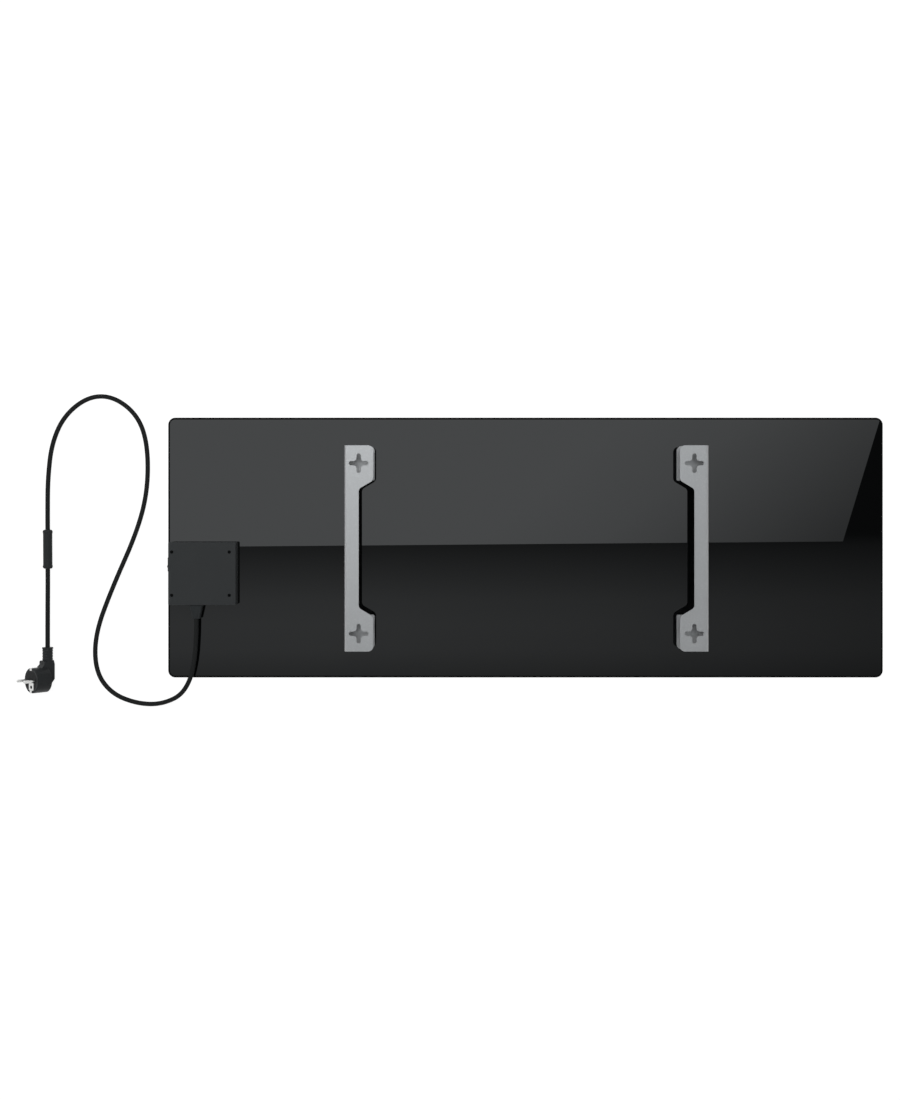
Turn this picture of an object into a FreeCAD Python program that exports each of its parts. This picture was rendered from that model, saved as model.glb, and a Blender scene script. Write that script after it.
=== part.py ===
import FreeCAD, Part
import Sketcher
import math
import os
import re

# Glass panel heater lying face down: origin at the middle of the front glass face,
# +X along the panel to the right as seen from behind, +Y to its top edge, +Z out of its back.

doc = FreeCAD.newDocument("PanelHeater")
sheet = doc.addObject("Spreadsheet::Sheet", "Sizes")
levels = doc.addObject("App::VarSet", "Levels")

# Driving sizes in millimetres
sizes = {
    # Panel: two glass panes with the heating film bonded between them
    "panel_length": "1100",
    "panel_height": "400",
    "panel_corner_radius": "11",
    "front_glass_thick": "5",
    "rear_glass_thick": "4",
    "front_edge_round": "1.2",
    "rear_edge_round": "3.2",
    "bond_thick": "0.8",
    "film_thick": "0.4",
    "seal_inset": "1",
    "seal_width": "6",
    "busbar_width": "10",
    "busbar_thick": "0.2",
    "busbar_margin": "8",
    "lead_tab_width": "5",
    "lead_tab_pitch": "8",
    "lead_hole_diameter": "14",
    # Hanging brackets: folded sheet with a plate towards the wall and two feet on the glass
    "bracket_outer": "276",
    "bracket_length": "312",
    "bracket_standoff": "38",
    "bracket_pad_thick": "1",
    "bracket_sheet": "2",
    "bracket_bend_radius": "3.5",
    "ear_width": "44",
    "ear_length": "53",
    "ear_taper": "13",
    "waist_width": "22",
    "ear_corner_radius": "8",
    "foot_corner_radius": "2.5",
    "waist_corner_radius": "7",
    "keyhole_inset": "27",
    "keyhole_span": "29.6",
    "keyhole_slot_width": "6.5",
    "keyhole_corner_round": "5",
    # Control box on the back, near the left edge
    "box_length": "103",
    "box_width": "96",
    "box_height": "22",
    "box_edge_inset": "4.5",
    "box_drop": "39",
    "box_wall": "2.2",
    "box_floor": "2",
    "box_corner_radius": "2",
    "box_pad_thick": "0.8",
    "lid_thick": "2.4",
    "lid_edge_round": "0.8",
    "gasket_thick": "0.6",
    "gasket_width": "0.9",
    "gasket_inset": "0.7",
    "lid_screw_left": "5.5",
    "lid_screw_right": "9.8",
    "lid_screw_spacing": "66",
    "lid_boss_radius": "3.2",
    "lid_screw_length": "10",
    "lid_screw_sink": "0.5",
    # Screws
    "screw_radius": "1.25",
    "screw_clearance": "0.1",
    "screw_head_radius": "2.4",
    "screw_head_height": "1.3",
    "screw_slot_width": "0.8",
    "screw_slot_depth": "0.7",
    "screw_slot_length": "3.2",
    "screw_end_gap": "1",
    # Control board and what stands on it
    "board_length": "34",
    "board_width": "40",
    "board_thick": "1.6",
    "board_gap": "50",
    "board_rise": "4",
    "board_side_gap": "3",
    "board_post_radius": "2.6",
    "board_post_inset": "3.2",
    "board_screw_length": "4.5",
    "board_part_gap": "1.5",
    "connector_length": "8",
    "connector_height": "7.5",
    "input_connector_width": "20",
    "output_connector_length": "15",
    "relay_length": "20",
    "relay_width": "10",
    "relay_height": "9",
    "supply_length": "17",
    "supply_width": "8",
    "supply_height": "8.4",
    # Wires, terminal block and thermal cutout
    "wire_height": "11.5",
    "wire_radius": "1.1",
    "core_gap": "0.1",
    "block_poles": "3",
    "block_pole_pitch": "8",
    "block_width": "15",
    "block_height": "12",
    "block_gap": "13",
    "cutout_radius": "8",
    "cutout_height": "7",
    "cutout_clearance": "0.3",
    "cutout_blade_thick": "0.8",
    "cutout_blade_width": "5",
    "cutout_blade_height": "6",
    "cutout_blade_offset": "5.5",
    "film_lead_reach": "22",
    # Rocker switch in the outboard wall of the box
    "switch_up": "14",
    "switch_body_length": "19",
    "switch_body_height": "12.6",
    "switch_depth": "13",
    "switch_wall": "1.5",
    "switch_clearance": "0.15",
    "bezel_length": "21",
    "bezel_height": "14.6",
    "bezel_thick": "1.2",
    "rocker_gap": "0.4",
    "rocker_radius": "8.4",
    "rocker_crown": "2.4",
    "rocker_tilt": "9",
    "rocker_dish_radius": "25",
    "rocker_dish_depth": "2",
    "rocker_axle_radius": "1.2",
    "rocker_axle_clearance": "0.06",
    "rocker_axle_reach": "1",
    "switch_blade_length": "6",
    "switch_blade_width": "4.8",
    "switch_blade_thick": "0.8",
    "switch_blade_pitch": "8",
    # Cord entry
    "cord_diameter": "7",
    "cord_from_left": "41.5",
    "cord_clearance": "0.1",
    "cord_tail_inside": "16",
    "boot_length": "21",
    "boot_root_width": "20.5",
    "boot_root_height": "14",
    "boot_tip_width": "11.5",
    "boot_tip_height": "10.5",
    "boot_neck_width": "15",
    "boot_neck_height": "10.5",
    "boot_flange_thick": "2.5",
    "boot_edge_round": "2.5",
    "clamp_length": "7",
    "clamp_reach": "3",
    "clamp_thick": "3",
    "clamp_screw_offset": "9",
    "clamp_post_radius": "3",
    "clamp_screw_length": "7",
    # Moulded choke sleeve on the cord
    "choke_length": "60",
    "choke_radius": "7.1",
    "choke_rim_radius": "7.5",
    "choke_rim_length": "3",
    "choke_wall": "2",
    "choke_core_inset": "1",
    "choke_clearance": "0.05",
    # Angled mains plug with two round pins
    "plug_radius": "19.5",
    "plug_front_depth": "24.5",
    "plug_depth": "37.7",
    "plug_half_thick": "7.4",
    "plug_edge_round": "3",
    "plug_face_round": "1.2",
    "plug_cord_setback": "28.4",
    "plug_neck_radius": "7.5",
    "plug_neck_top": "48.9",
    "plug_collar_radius": "8.4",
    "plug_collar_length": "2.2",
    "plug_shoulder_height": "29",
    "plug_shoulder_half": "9.8",
    "plug_shoulder_inset": "1.5",
    "plug_insert_radius": "15.5",
    "plug_insert_depth": "8",
    "pin_radius": "2.4",
    "pin_length": "19",
    "pin_root": "7",
    "pin_pitch": "19",
    "earth_clip_width": "5.6",
    "earth_clip_length": "12",
    "earth_clip_thick": "1.2",
    "earth_clip_sink": "0.3",
    "earth_tab_length": "4",
    "earth_tab_thick": "0.8",
    "earth_plate_width": "13",
    "earth_plate_thick": "0.8",
    "earth_hole_radius": "2.6",
    "earth_hole_drop": "10",
    # Shared by every cut that runs past a face
    "overrun": "1",
}

# Shares of the plug's depth and radius that its side outline follows
plug_heel_depth_share = 0.62
plug_heel_drop_share = 0.9
plug_shoulder_fall_share = 0.8
plug_root_depth_share = 0.5
plug_root_height_share = 0.88

for row, (alias, text) in enumerate(sizes.items(), 1):
    sheet.set(f"A{row}", alias)
    sheet.set(f"B{row}", text)
    sheet.setAlias(f"B{row}", alias)
doc.recompute()

# Places worked out from the driving sizes
places = {
    "film_low": "front_glass_thick + bond_thick",
    "film_high": "film_low + film_thick",
    "rear_low": "film_high + bond_thick",
    "seal_thick": "rear_low - front_glass_thick",
    "glass_back": "rear_low + rear_glass_thick",
    "layer_length": "panel_length - 2 * seal_inset - 2 * seal_width",
    "layer_height": "panel_height - 2 * seal_inset - 2 * seal_width",
    "wall_plane": "glass_back + bracket_standoff",
    "foot_low": "glass_back + bracket_pad_thick",
    "ear_inner": "bracket_outer - ear_width",
    "waist_inner": "bracket_outer - waist_width",
    "ear_end": "bracket_length / 2 - ear_length",
    "waist_end": "ear_end - ear_taper",
    "keyhole_x": "bracket_outer - ear_width / 2",
    "keyhole_y": "bracket_length / 2 - keyhole_inset",
    "keyhole_half": "keyhole_slot_width / 2",
    "keyhole_arm": "keyhole_span / 2 - keyhole_half",
    "box_left": "-panel_length / 2 + box_edge_inset",
    "box_right": "box_left + box_length",
    "box_low": "-box_drop - box_width / 2",
    "box_high": "box_low + box_width",
    "box_top": "glass_back + box_height",
    "base_low": "glass_back + box_pad_thick",
    "floor_high": "base_low + box_floor",
    "lid_low": "box_top - lid_thick",
    "rim_high": "lid_low - gasket_thick",
    "screw_seat": "box_top - lid_screw_sink - screw_head_height",
    "wire_level": "glass_back + wire_height",
    "cord_x": "box_left + cord_from_left",
    "cord_bore": "cord_diameter / 2 + cord_clearance",
    "boot_tip": "box_low - boot_length",
    "tail_end": "box_low + box_wall + cord_tail_inside",
    "flange_end": "box_low + box_wall + boot_flange_thick",
    "clamp_low": "flange_end + clamp_reach",
    "clamp_seat": "wire_level + cord_clearance / 2",
    "block_length": "block_poles * block_pole_pitch",
    "block_low": "tail_end + block_gap",
    "block_high": "block_low + block_width",
    "board_left": "box_left + box_wall + board_gap",
    "board_right": "board_left + board_length",
    "board_high": "box_high - box_wall - board_side_gap",
    "board_low": "board_high - board_width",
    "board_under": "floor_high + board_rise",
    "board_top": "board_under + board_thick",
    "switch_y": "-box_drop + switch_up",
    "switch_back": "box_left + box_wall + switch_depth",
    "well_length": "switch_body_length - 2 * switch_wall",
    "well_height": "switch_body_height - 2 * switch_wall",
    "switch_blade_end": "switch_back + switch_blade_length",
    "upper_blade_y": "switch_y + switch_blade_pitch / 2",
    "lower_blade_y": "switch_y - switch_blade_pitch / 2",
    "pivot_x": "box_left - bezel_thick + rocker_radius - rocker_crown",
    "cutout_x": "(switch_blade_end + board_left) / 2",
    "output_x": "(board_left + board_right) / 2",
    "lead_y": "board_low - film_lead_reach",
    "tab_left_x": "output_x - lead_tab_pitch / 2",
    "tab_right_x": "output_x + lead_tab_pitch / 2",
    "plug_arm": "plug_depth - plug_edge_round - plug_front_depth",
    "plug_drop": "plug_radius - plug_half_thick + plug_edge_round",
    "plug_tilt": "(atan(plug_drop / plug_arm) - asin(plug_edge_round / hypot(plug_arm; plug_drop))) / 1deg",
}


def formula(text):
    """A formula in plain names, with each name led to the cell or place that holds it."""
    def owner(match):
        word = match.group(0)
        if word in sizes:
            return "Sizes." + word
        return "Levels." + word if word in places else word
    return re.sub(r"[a-z]\w*", owner, str(text))


for place, text in places.items():
    levels.addProperty("App::PropertyFloat", place)
    levels.setExpression(place, formula(text))
doc.recompute()


def number(name):
    return float(sheet.get(name)) if name in sizes else float(getattr(levels, name))


def bind(item, field, text):
    item.setExpression(field, formula(text))


def place_at(item, low):
    for axis, text in zip("xyz", low):
        bind(item, "Placement.Base." + axis, text)
    return item


def block(name, low, lengths):
    item = doc.addObject("Part::Box", name)
    for side, text in zip(("Length", "Width", "Height"), lengths):
        bind(item, side, text)
    return place_at(item, low)


quarter_turn = 90
turns = {
    "x": FreeCAD.Rotation(FreeCAD.Vector(0, 1, 0), quarter_turn),
    "y": FreeCAD.Rotation(FreeCAD.Vector(1, 0, 0), -quarter_turn),
    "z": FreeCAD.Rotation(),
}


def rod(name, low, radius, length, along="z"):
    item = doc.addObject("Part::Cylinder", name)
    item.Placement.Rotation = turns[along]
    bind(item, "Radius", radius)
    bind(item, "Height", length)
    return place_at(item, low)


def group(name, items):
    item = doc.addObject("Part::Compound", name)
    item.Links = items
    return item


def fuse(name, items):
    item = doc.addObject("Part::MultiFuse", name)
    item.Shapes = items
    return item


def cut(name, base, tools):
    item = doc.addObject("Part::Cut", name)
    item.Base = base
    item.Tool = tools[0] if len(tools) == 1 else fuse(name + "_tools", tools)
    return item


def copy_at(name, source, low):
    item = doc.addObject("App::Link", name)
    item.LinkedObject = source
    return place_at(item, low)


def new_body(name):
    return doc.addObject("PartDesign::Body", name)


def sketch(body, name, plane="XY_Plane", level="0"):
    item = body.newObject("Sketcher::SketchObject", name)
    origin = next(part for part in body.Origin.OriginFeatures if part.Role == plane)
    item.AttachmentSupport = [(origin, "")]
    item.MapMode = "FlatFace"
    bind(item, "AttachmentOffset.Base.z", level)
    return item


def pin_point(item, edge, vertex, spot):
    for kind, text in zip(("DistanceX", "DistanceY"), spot):
        index = item.addConstraint(Sketcher.Constraint(kind, edge, vertex, 1.0))
        bind(item, f"Constraints[{index}]", text)


def polygon(item, spots):
    """A closed outline whose corners are pairs of formulas."""
    first = item.GeometryCount
    count = len(spots)
    unit = [FreeCAD.Vector(math.cos(math.tau * i / count), math.sin(math.tau * i / count), 0)
            for i in range(count)]
    for i in range(count):
        item.addGeometry(Part.LineSegment(unit[i], unit[(i + 1) % count]))
    for i, spot in enumerate(spots):
        item.addConstraint(Sketcher.Constraint("Coincident", first + i, 2, first + (i + 1) % count, 1))
        pin_point(item, first + i, 1, spot)
    return item


def rectangle(item, low, high):
    return polygon(item, [low, (high[0], low[1]), high, (low[0], high[1])])


def circle(item, spot, radius):
    edge = item.addGeometry(Part.Circle(FreeCAD.Vector(), FreeCAD.Vector(0, 0, 1), 1))
    pin_point(item, edge, 3, spot)
    index = item.addConstraint(Sketcher.Constraint("Radius", edge, 1.0))
    bind(item, f"Constraints[{index}]", radius)
    return item


def extrude(kind, body, profile, length, back=False, both=False):
    item = body.newObject("PartDesign::" + kind, profile.Name + "_" + kind.lower())
    item.Profile = profile
    item.Reversed = back
    if both:
        item.SideType = "Symmetric"
    bind(item, "Length", length)
    doc.recompute()
    return item


def pad(body, profile, length, **how):
    return extrude("Pad", body, profile, length, **how)


def pocket(body, profile, length, **how):
    before = body.Shape.Volume
    item = extrude("Pocket", body, profile, length, **how)
    if body.Shape.Volume >= before:
        raise RuntimeError(f"{item.Name} removes nothing")
    return item


def runs_along(edge, axis):
    start, end = (vertex.Point for vertex in edge.Vertexes) if len(edge.Vertexes) == 2 else (None, None)
    if start is None or edge.Curve.TypeId != "Part::GeomLine":
        return False
    way = (end - start).normalize()
    return abs(getattr(way, axis)) > 1 - 1e-6


def near(value, *names):
    return any(abs(value - goal) < 1e-4 for goal in names)


def fillet(body, name, radius, choose):
    base = body.Tip
    chosen = [f"Edge{i}" for i, edge in enumerate(base.Shape.Edges, 1) if choose(edge, edge.CenterOfMass)]
    if not chosen:
        raise RuntimeError(f"{name} finds no edge")
    item = body.newObject("PartDesign::Fillet", name)
    item.Base = (base, chosen)
    bind(item, "Radius", radius)
    doc.recompute()
    return item


nodes = {}


def keep(label, item):
    item.Label = label
    nodes[label] = item
    return item


def pane(label, low, thick, rounds):
    """A glass pane with rounded corners and ground edges; rounds pairs a face level with its radius."""
    body = new_body(label + "_pane")
    outline = sketch(body, label + "_outline", level=low)
    rectangle(outline, ("-panel_length / 2", "-panel_height / 2"), ("panel_length / 2", "panel_height / 2"))
    pad(body, outline, thick)
    fillet(body, label + "_corners", "panel_corner_radius", lambda edge, mid: runs_along(edge, "z"))
    for face, radius in rounds:
        fillet(body, f"{label}_{face}_rim", radius, lambda edge, mid: near(mid.z, level_of[face]))
    return body


level_of = {"front": 0, "rear": number("glass_back")}
keep("front_glass", pane("front_glass", "0", "front_glass_thick", [("front", "front_edge_round")]))
rear_glass = pane("rear_glass", "rear_low", "rear_glass_thick", [("rear", "rear_edge_round")])
lead_hole = circle(sketch(rear_glass, "lead_hole", level="glass_back"),
                   ("output_x", "lead_y"), "lead_hole_diameter / 2")
pocket(rear_glass, lead_hole, "rear_glass_thick")
keep("rear_glass", rear_glass)


def layer(name, low, thick):
    return block(name, ("-layer_length / 2", "-layer_height / 2", low),
                 ("layer_length", "layer_height", thick))


keep("front_bond_sheet", layer("front_bond", "front_glass_thick", "bond_thick"))
keep("heating_film", layer("film", "film_low", "film_thick"))

# Edge seal: a frame round the bonded layers, between the panes
edge_seal = new_body("edge_seal_frame")
seal_outline = rectangle(sketch(edge_seal, "seal_outline", level="front_glass_thick"),
                         ("-panel_length / 2 + seal_inset", "-panel_height / 2 + seal_inset"),
                         ("panel_length / 2 - seal_inset", "panel_height / 2 - seal_inset"))
pad(edge_seal, seal_outline, "seal_thick")
fillet(edge_seal, "seal_corners", "panel_corner_radius - seal_inset",
       lambda edge, mid: runs_along(edge, "z"))
seal_window = rectangle(sketch(edge_seal, "seal_window", level="rear_low"),
                        ("-layer_length / 2", "-layer_height / 2"), ("layer_length / 2", "layer_height / 2"))
pocket(edge_seal, seal_window, "seal_thick")
keep("edge_seal", edge_seal)


def busbar(name, tab_x, side):
    """One copper strip along a long edge of the film, with a tab to the lead hole."""
    half = "(layer_length / 2 - busbar_margin)"
    edge = "(layer_height / 2 - busbar_margin)"
    strip_low = f"{edge} - busbar_width" if side > 0 else f"-{edge}"
    strip = block(name + "_strip", ("-" + half, strip_low, "film_high"),
                  (f"2 * {half}", "busbar_width", "busbar_thick"))
    tab_low = "lead_y - lead_tab_width / 2" if side > 0 else f"-{edge}"
    tab_long = f"{edge} - {side} * lead_y + lead_tab_width / 2"
    tab = block(name + "_tab", (f"{tab_x} - lead_tab_width / 2", tab_low, "film_high"),
                ("lead_tab_width", tab_long, "busbar_thick"))
    return fuse(name, [strip, tab])


upper_busbar = busbar("upper_busbar", "tab_left_x", 1)
lower_busbar = busbar("lower_busbar", "tab_right_x", -1)
keep("busbars", group("busbar_pair", [upper_busbar, lower_busbar]))
rear_bond_hole = rod("rear_bond_hole", ("output_x", "lead_y", "film_high"),
                     "lead_hole_diameter / 2", "bond_thick")
keep("rear_bond_sheet", cut("rear_bond", layer("rear_bond_blank", "film_high", "bond_thick"),
                            [upper_busbar, lower_busbar, rear_bond_hole]))


def bracket():
    """Right-hand bracket: a folded channel with a waist between two wide ears."""
    body = new_body("bracket_fold")
    channel = polygon(sketch(body, "channel", "XZ_Plane"), [
        ("ear_inner", "wall_plane"), ("bracket_outer", "wall_plane"), ("bracket_outer", "foot_low"),
        ("ear_inner", "foot_low"), ("ear_inner", "foot_low + bracket_sheet"),
        ("bracket_outer - bracket_sheet", "foot_low + bracket_sheet"),
        ("bracket_outer - bracket_sheet", "wall_plane - bracket_sheet"),
        ("ear_inner", "wall_plane - bracket_sheet")])
    pad(body, channel, "bracket_length", both=True)
    outer = number("bracket_outer")
    inner = outer - number("bracket_sheet")
    fillet(body, "outer_bends", "bracket_bend_radius",
           lambda edge, mid: runs_along(edge, "y") and near(mid.x, outer))
    fillet(body, "inner_bends", "bracket_bend_radius - bracket_sheet",
           lambda edge, mid: runs_along(edge, "y") and near(mid.x, inner))
    notch = polygon(sketch(body, "notch", level="wall_plane"), [
        ("ear_inner - overrun", "ear_end"), ("ear_inner", "ear_end"), ("waist_inner", "waist_end"),
        ("waist_inner", "-waist_end"), ("ear_inner", "-ear_end"), ("ear_inner - overrun", "-ear_end")])
    pocket(body, notch, "wall_plane")
    foot_gap = rectangle(sketch(body, "foot_gap", level="foot_low + bracket_bend_radius"),
                         ("ear_inner - overrun", "-ear_end"), ("bracket_outer + overrun", "ear_end"))
    pocket(body, foot_gap, "bracket_bend_radius + overrun")
    half = number("bracket_length") / 2
    ear_x, waist_x = number("ear_inner"), number("waist_inner")
    ear_y, waist_y = number("ear_end"), number("waist_end")
    middle = (number("foot_low") + number("wall_plane")) / 2
    fillet(body, "foot_corners", "foot_corner_radius",
           lambda edge, mid: runs_along(edge, "z") and near(mid.x, ear_x) and near(abs(mid.y), ear_y)
           and mid.z < middle)
    fillet(body, "ear_corners", "ear_corner_radius",
           lambda edge, mid: runs_along(edge, "z") and near(mid.x, ear_x) and near(abs(mid.y), half, ear_y))
    fillet(body, "waist_corners", "waist_corner_radius",
           lambda edge, mid: runs_along(edge, "z") and near(mid.x, waist_x) and near(abs(mid.y), waist_y)
           and mid.z > middle)
    ends = sketch(body, "keyhole_ends", level="wall_plane")
    crosses = sketch(body, "keyhole_crosses", level="wall_plane")
    for centre in ("keyhole_y", "-keyhole_y"):
        for x, y in ((1, 0), (0, 1), (-1, 0), (0, -1)):
            circle(ends, (f"keyhole_x + {x} * keyhole_arm", f"{centre} + {y} * keyhole_arm"), "keyhole_half")
        cross = [("half", "arm"), ("half", "half"), ("arm", "half")]
        corners = []
        for sign_x, sign_y, order in ((1, 1, 1), (1, -1, -1), (-1, -1, 1), (-1, 1, -1)):
            corners += [(f"keyhole_x + {sign_x} * keyhole_{x}", f"{centre} + {sign_y} * keyhole_{y}")
                        for x, y in cross[::order]]
        polygon(crosses, corners)
    pocket(body, ends, "bracket_sheet")
    pocket(body, crosses, "bracket_sheet")
    cross_x, cross_y = number("keyhole_x"), number("keyhole_y")
    slot_half = number("keyhole_half")
    fillet(body, "keyhole_corners", "keyhole_corner_round",
           lambda edge, mid: runs_along(edge, "z") and near(abs(mid.x - cross_x), slot_half)
           and near(abs(abs(mid.y) - cross_y), slot_half))
    return body


right_bracket = keep("right_bracket", bracket())
left_bracket = doc.addObject("Part::Mirroring", "left_bracket_fold")
left_bracket.Source = right_bracket
left_bracket.Normal = FreeCAD.Vector(1, 0, 0)
keep("left_bracket", left_bracket)


def bracket_pad(name, side_x, side_y):
    """Bonding pad under one bracket foot, kept inside the foot's rounded outline."""
    low_x = "ear_inner + ear_corner_radius / 2" if side_x > 0 else "-bracket_outer + bracket_bend_radius"
    low_y = "ear_end" if side_y > 0 else "-bracket_length / 2 + ear_corner_radius / 2"
    return block(name, (low_x, low_y, "glass_back"),
                 ("ear_width - ear_corner_radius / 2 - bracket_bend_radius",
                  "ear_length - ear_corner_radius / 2", "bracket_pad_thick"))


keep("bracket_bond_pads", group("bracket_pads", [
    bracket_pad(f"bracket_pad_{number_x}_{number_y}", side_x, side_y)
    for number_x, side_x in enumerate((-1, 1)) for number_y, side_y in enumerate((-1, 1))]))

# Control box
lid_screw_spots = [(x, y) for x in ("box_left + lid_screw_left", "box_right - lid_screw_right")
                   for y in ("-box_drop - lid_screw_spacing / 2", "-box_drop + lid_screw_spacing / 2")]
post_spots = [(x, y) for x in ("board_left + board_post_inset", "board_right - board_post_inset")
              for y in ("board_low + board_post_inset", "board_high - board_post_inset")]
board_screw_spots = [post_spots[1], post_spots[2]]
clamp_y = "clamp_low + clamp_length / 2"
clamp_spots = [("cord_x - clamp_screw_offset", clamp_y), ("cord_x + clamp_screw_offset", clamp_y)]
pilot = "screw_radius + screw_clearance"


def rounded_slab(name, low, thick):
    body = new_body(name)
    outline = rectangle(sketch(body, name + "_outline", level=low),
                        ("box_left", "box_low"), ("box_right", "box_high"))
    pad(body, outline, thick)
    fillet(body, name + "_corners", "box_corner_radius", lambda edge, mid: runs_along(edge, "z"))
    return body


def box_base():
    body = rounded_slab("base", "base_low", "rim_high - base_low")
    inside = rectangle(sketch(body, "base_inside", level="rim_high"),
                       ("box_left + box_wall", "box_low + box_wall"),
                       ("box_right - box_wall", "box_high - box_wall"))
    pocket(body, inside, "rim_high - floor_high")
    saddle = rectangle(sketch(body, "saddle", level="floor_high"),
                       ("cord_x - clamp_screw_offset", "clamp_low"),
                       ("cord_x + clamp_screw_offset", "clamp_low + clamp_length"))
    pad(body, saddle, "wire_level - cord_diameter / 2 - floor_high")
    posts = {
        "lid_bosses": (lid_screw_spots, "lid_boss_radius", "lid_low", "lid_screw_length"),
        "board_posts": (post_spots, "board_post_radius", "board_under", "board_rise"),
        "clamp_posts": (clamp_spots, "clamp_post_radius", "clamp_seat", "clamp_screw_length"),
    }
    for name, (spots, radius, top, depth) in posts.items():
        solid = sketch(body, name, level="floor_high")
        for spot in spots:
            circle(solid, spot, radius)
        pad(body, solid, f"{top} - floor_high")
        holes = sketch(body, name + "_pilots", level=top)
        for spot in spots:
            circle(holes, spot, pilot)
        pocket(body, holes, depth)
    cradle = circle(sketch(body, "cradle", "XZ_Plane", "-clamp_low + overrun"),
                    ("cord_x", "wire_level"), "cord_bore")
    pocket(body, cradle, "clamp_length + 2 * overrun")
    entry = rectangle(sketch(body, "cord_entry", "XZ_Plane", "-box_low + overrun"),
                      ("cord_x - boot_neck_width / 2 - cord_clearance",
                       "wire_level - boot_neck_height / 2 - cord_clearance"),
                      ("cord_x + boot_neck_width / 2 + cord_clearance",
                       "wire_level + boot_neck_height / 2 + cord_clearance"))
    pocket(body, entry, "box_wall + 2 * overrun")
    switch_hole = rectangle(sketch(body, "switch_hole", "YZ_Plane", "box_left - overrun"),
                            ("switch_y - switch_body_length / 2 - switch_clearance",
                             "wire_level - switch_body_height / 2 - switch_clearance"),
                            ("switch_y + switch_body_length / 2 + switch_clearance",
                             "wire_level + switch_body_height / 2 + switch_clearance"))
    pocket(body, switch_hole, "box_wall + 2 * overrun", back=True)
    openings = sketch(body, "floor_openings", level="floor_high")
    circle(openings, ("output_x", "lead_y"), "lead_hole_diameter / 2")
    circle(openings, ("cutout_x", "upper_blade_y"), "cutout_radius + cutout_clearance")
    pocket(body, openings, "box_floor")
    return body


def box_lid():
    body = rounded_slab("lid", "lid_low", "lid_thick")
    top = number("box_top")
    fillet(body, "lid_rim", "lid_edge_round", lambda edge, mid: near(mid.z, top))
    holes = sketch(body, "lid_holes", level="box_top")
    wells = sketch(body, "lid_wells", level="box_top")
    for spot in lid_screw_spots:
        circle(holes, spot, pilot)
        circle(wells, spot, "screw_head_radius + screw_clearance")
    pocket(body, holes, "lid_thick")
    pocket(body, wells, "box_top - screw_seat")
    return body


def box_pad():
    """Bonding sheet under the base, open at the leads and at the cutout."""
    body = rounded_slab("base_pad", "glass_back", "box_pad_thick")
    openings = sketch(body, "pad_openings", level="base_low")
    circle(openings, ("output_x", "lead_y"), "lead_hole_diameter / 2")
    circle(openings, ("cutout_x", "upper_blade_y"), "cutout_radius + cutout_clearance")
    pocket(body, openings, "box_pad_thick")
    return body


def gasket():
    def frame(name, inset):
        return block(name, (f"box_left + {inset}", f"box_low + {inset}", "rim_high"),
                     (f"box_length - 2 * ({inset})", f"box_width - 2 * ({inset})", "gasket_thick"))
    outside = frame("gasket_outside", "gasket_inset")
    return cut("gasket_frame", outside, [frame("gasket_inside", "gasket_inset + gasket_width")])


keep("box_bond_pad", box_pad())
keep("box_base", box_base())
keep("lid_gasket", gasket())
keep("box_lid", box_lid())


def screw(name, length):
    """Pan-head screw with a crossed drive, standing on its head's underside."""
    head = rod(name + "_head", ("0", "0", "0"), "screw_head_radius", "screw_head_height")
    shank = rod(name + "_shank", ("0", "0", f"-({length})"), "screw_radius", length)
    slot_low = "screw_head_height - screw_slot_depth"
    reach = "screw_slot_length / 2"
    slots = [block(name + "_slot_x", (f"-{reach}", "-screw_slot_width / 2", slot_low),
                   ("screw_slot_length", "screw_slot_width", "screw_slot_depth + overrun")),
             block(name + "_slot_y", ("-screw_slot_width / 2", f"-{reach}", slot_low),
                   ("screw_slot_width", "screw_slot_length", "screw_slot_depth + overrun"))]
    return cut(name, fuse(name + "_blank", [head, shank]), slots)


def screw_set(label, length, spots, seat):
    master = screw(label + "_pattern", length)
    copies = [copy_at(f"{label}_{i}", master, (*spot, seat)) for i, spot in enumerate(spots)]
    keep(label, group(label + "_set", copies))


screw_set("lid_screws", "screw_seat - lid_low + lid_screw_length - screw_end_gap", lid_screw_spots,
          "screw_seat")
screw_set("board_screws", "board_screw_length", board_screw_spots, "board_top")
screw_set("clamp_screws", "clamp_thick + clamp_screw_length - screw_end_gap", clamp_spots,
          "clamp_seat + clamp_thick")

# Control board with its connectors, relay and power supply
board_blank = block("board_blank", ("board_left", "board_low", "board_under"),
                    ("board_length", "board_width", "board_thick"))
keep("control_board", cut("board", board_blank, [
    rod(f"board_hole_{i}", (*spot, "board_under"), pilot, "board_thick")
    for i, spot in enumerate(board_screw_spots)]))
input_connector = block("input_connector", ("board_left", "board_low + 2 * board_post_inset", "board_top"),
                        ("connector_length", "input_connector_width", "connector_height"))
output_connector = block("output_connector",
                         ("output_x - output_connector_length / 2", "board_low", "board_top"),
                         ("output_connector_length", "connector_length", "connector_height"))
keep("board_connectors", group("connector_pair", [input_connector, output_connector]))
keep("relay", block("relay_case",
                    ("board_right - relay_length - board_part_gap",
                     "board_low + connector_length + board_part_gap", "board_top"),
                    ("relay_length", "relay_width", "relay_height")))
keep("power_supply", block("supply_case",
                           ("board_right - supply_length - board_part_gap",
                            "board_high - supply_width - 2 * board_post_inset", "board_top"),
                           ("supply_length", "supply_width", "supply_height")))

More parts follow.
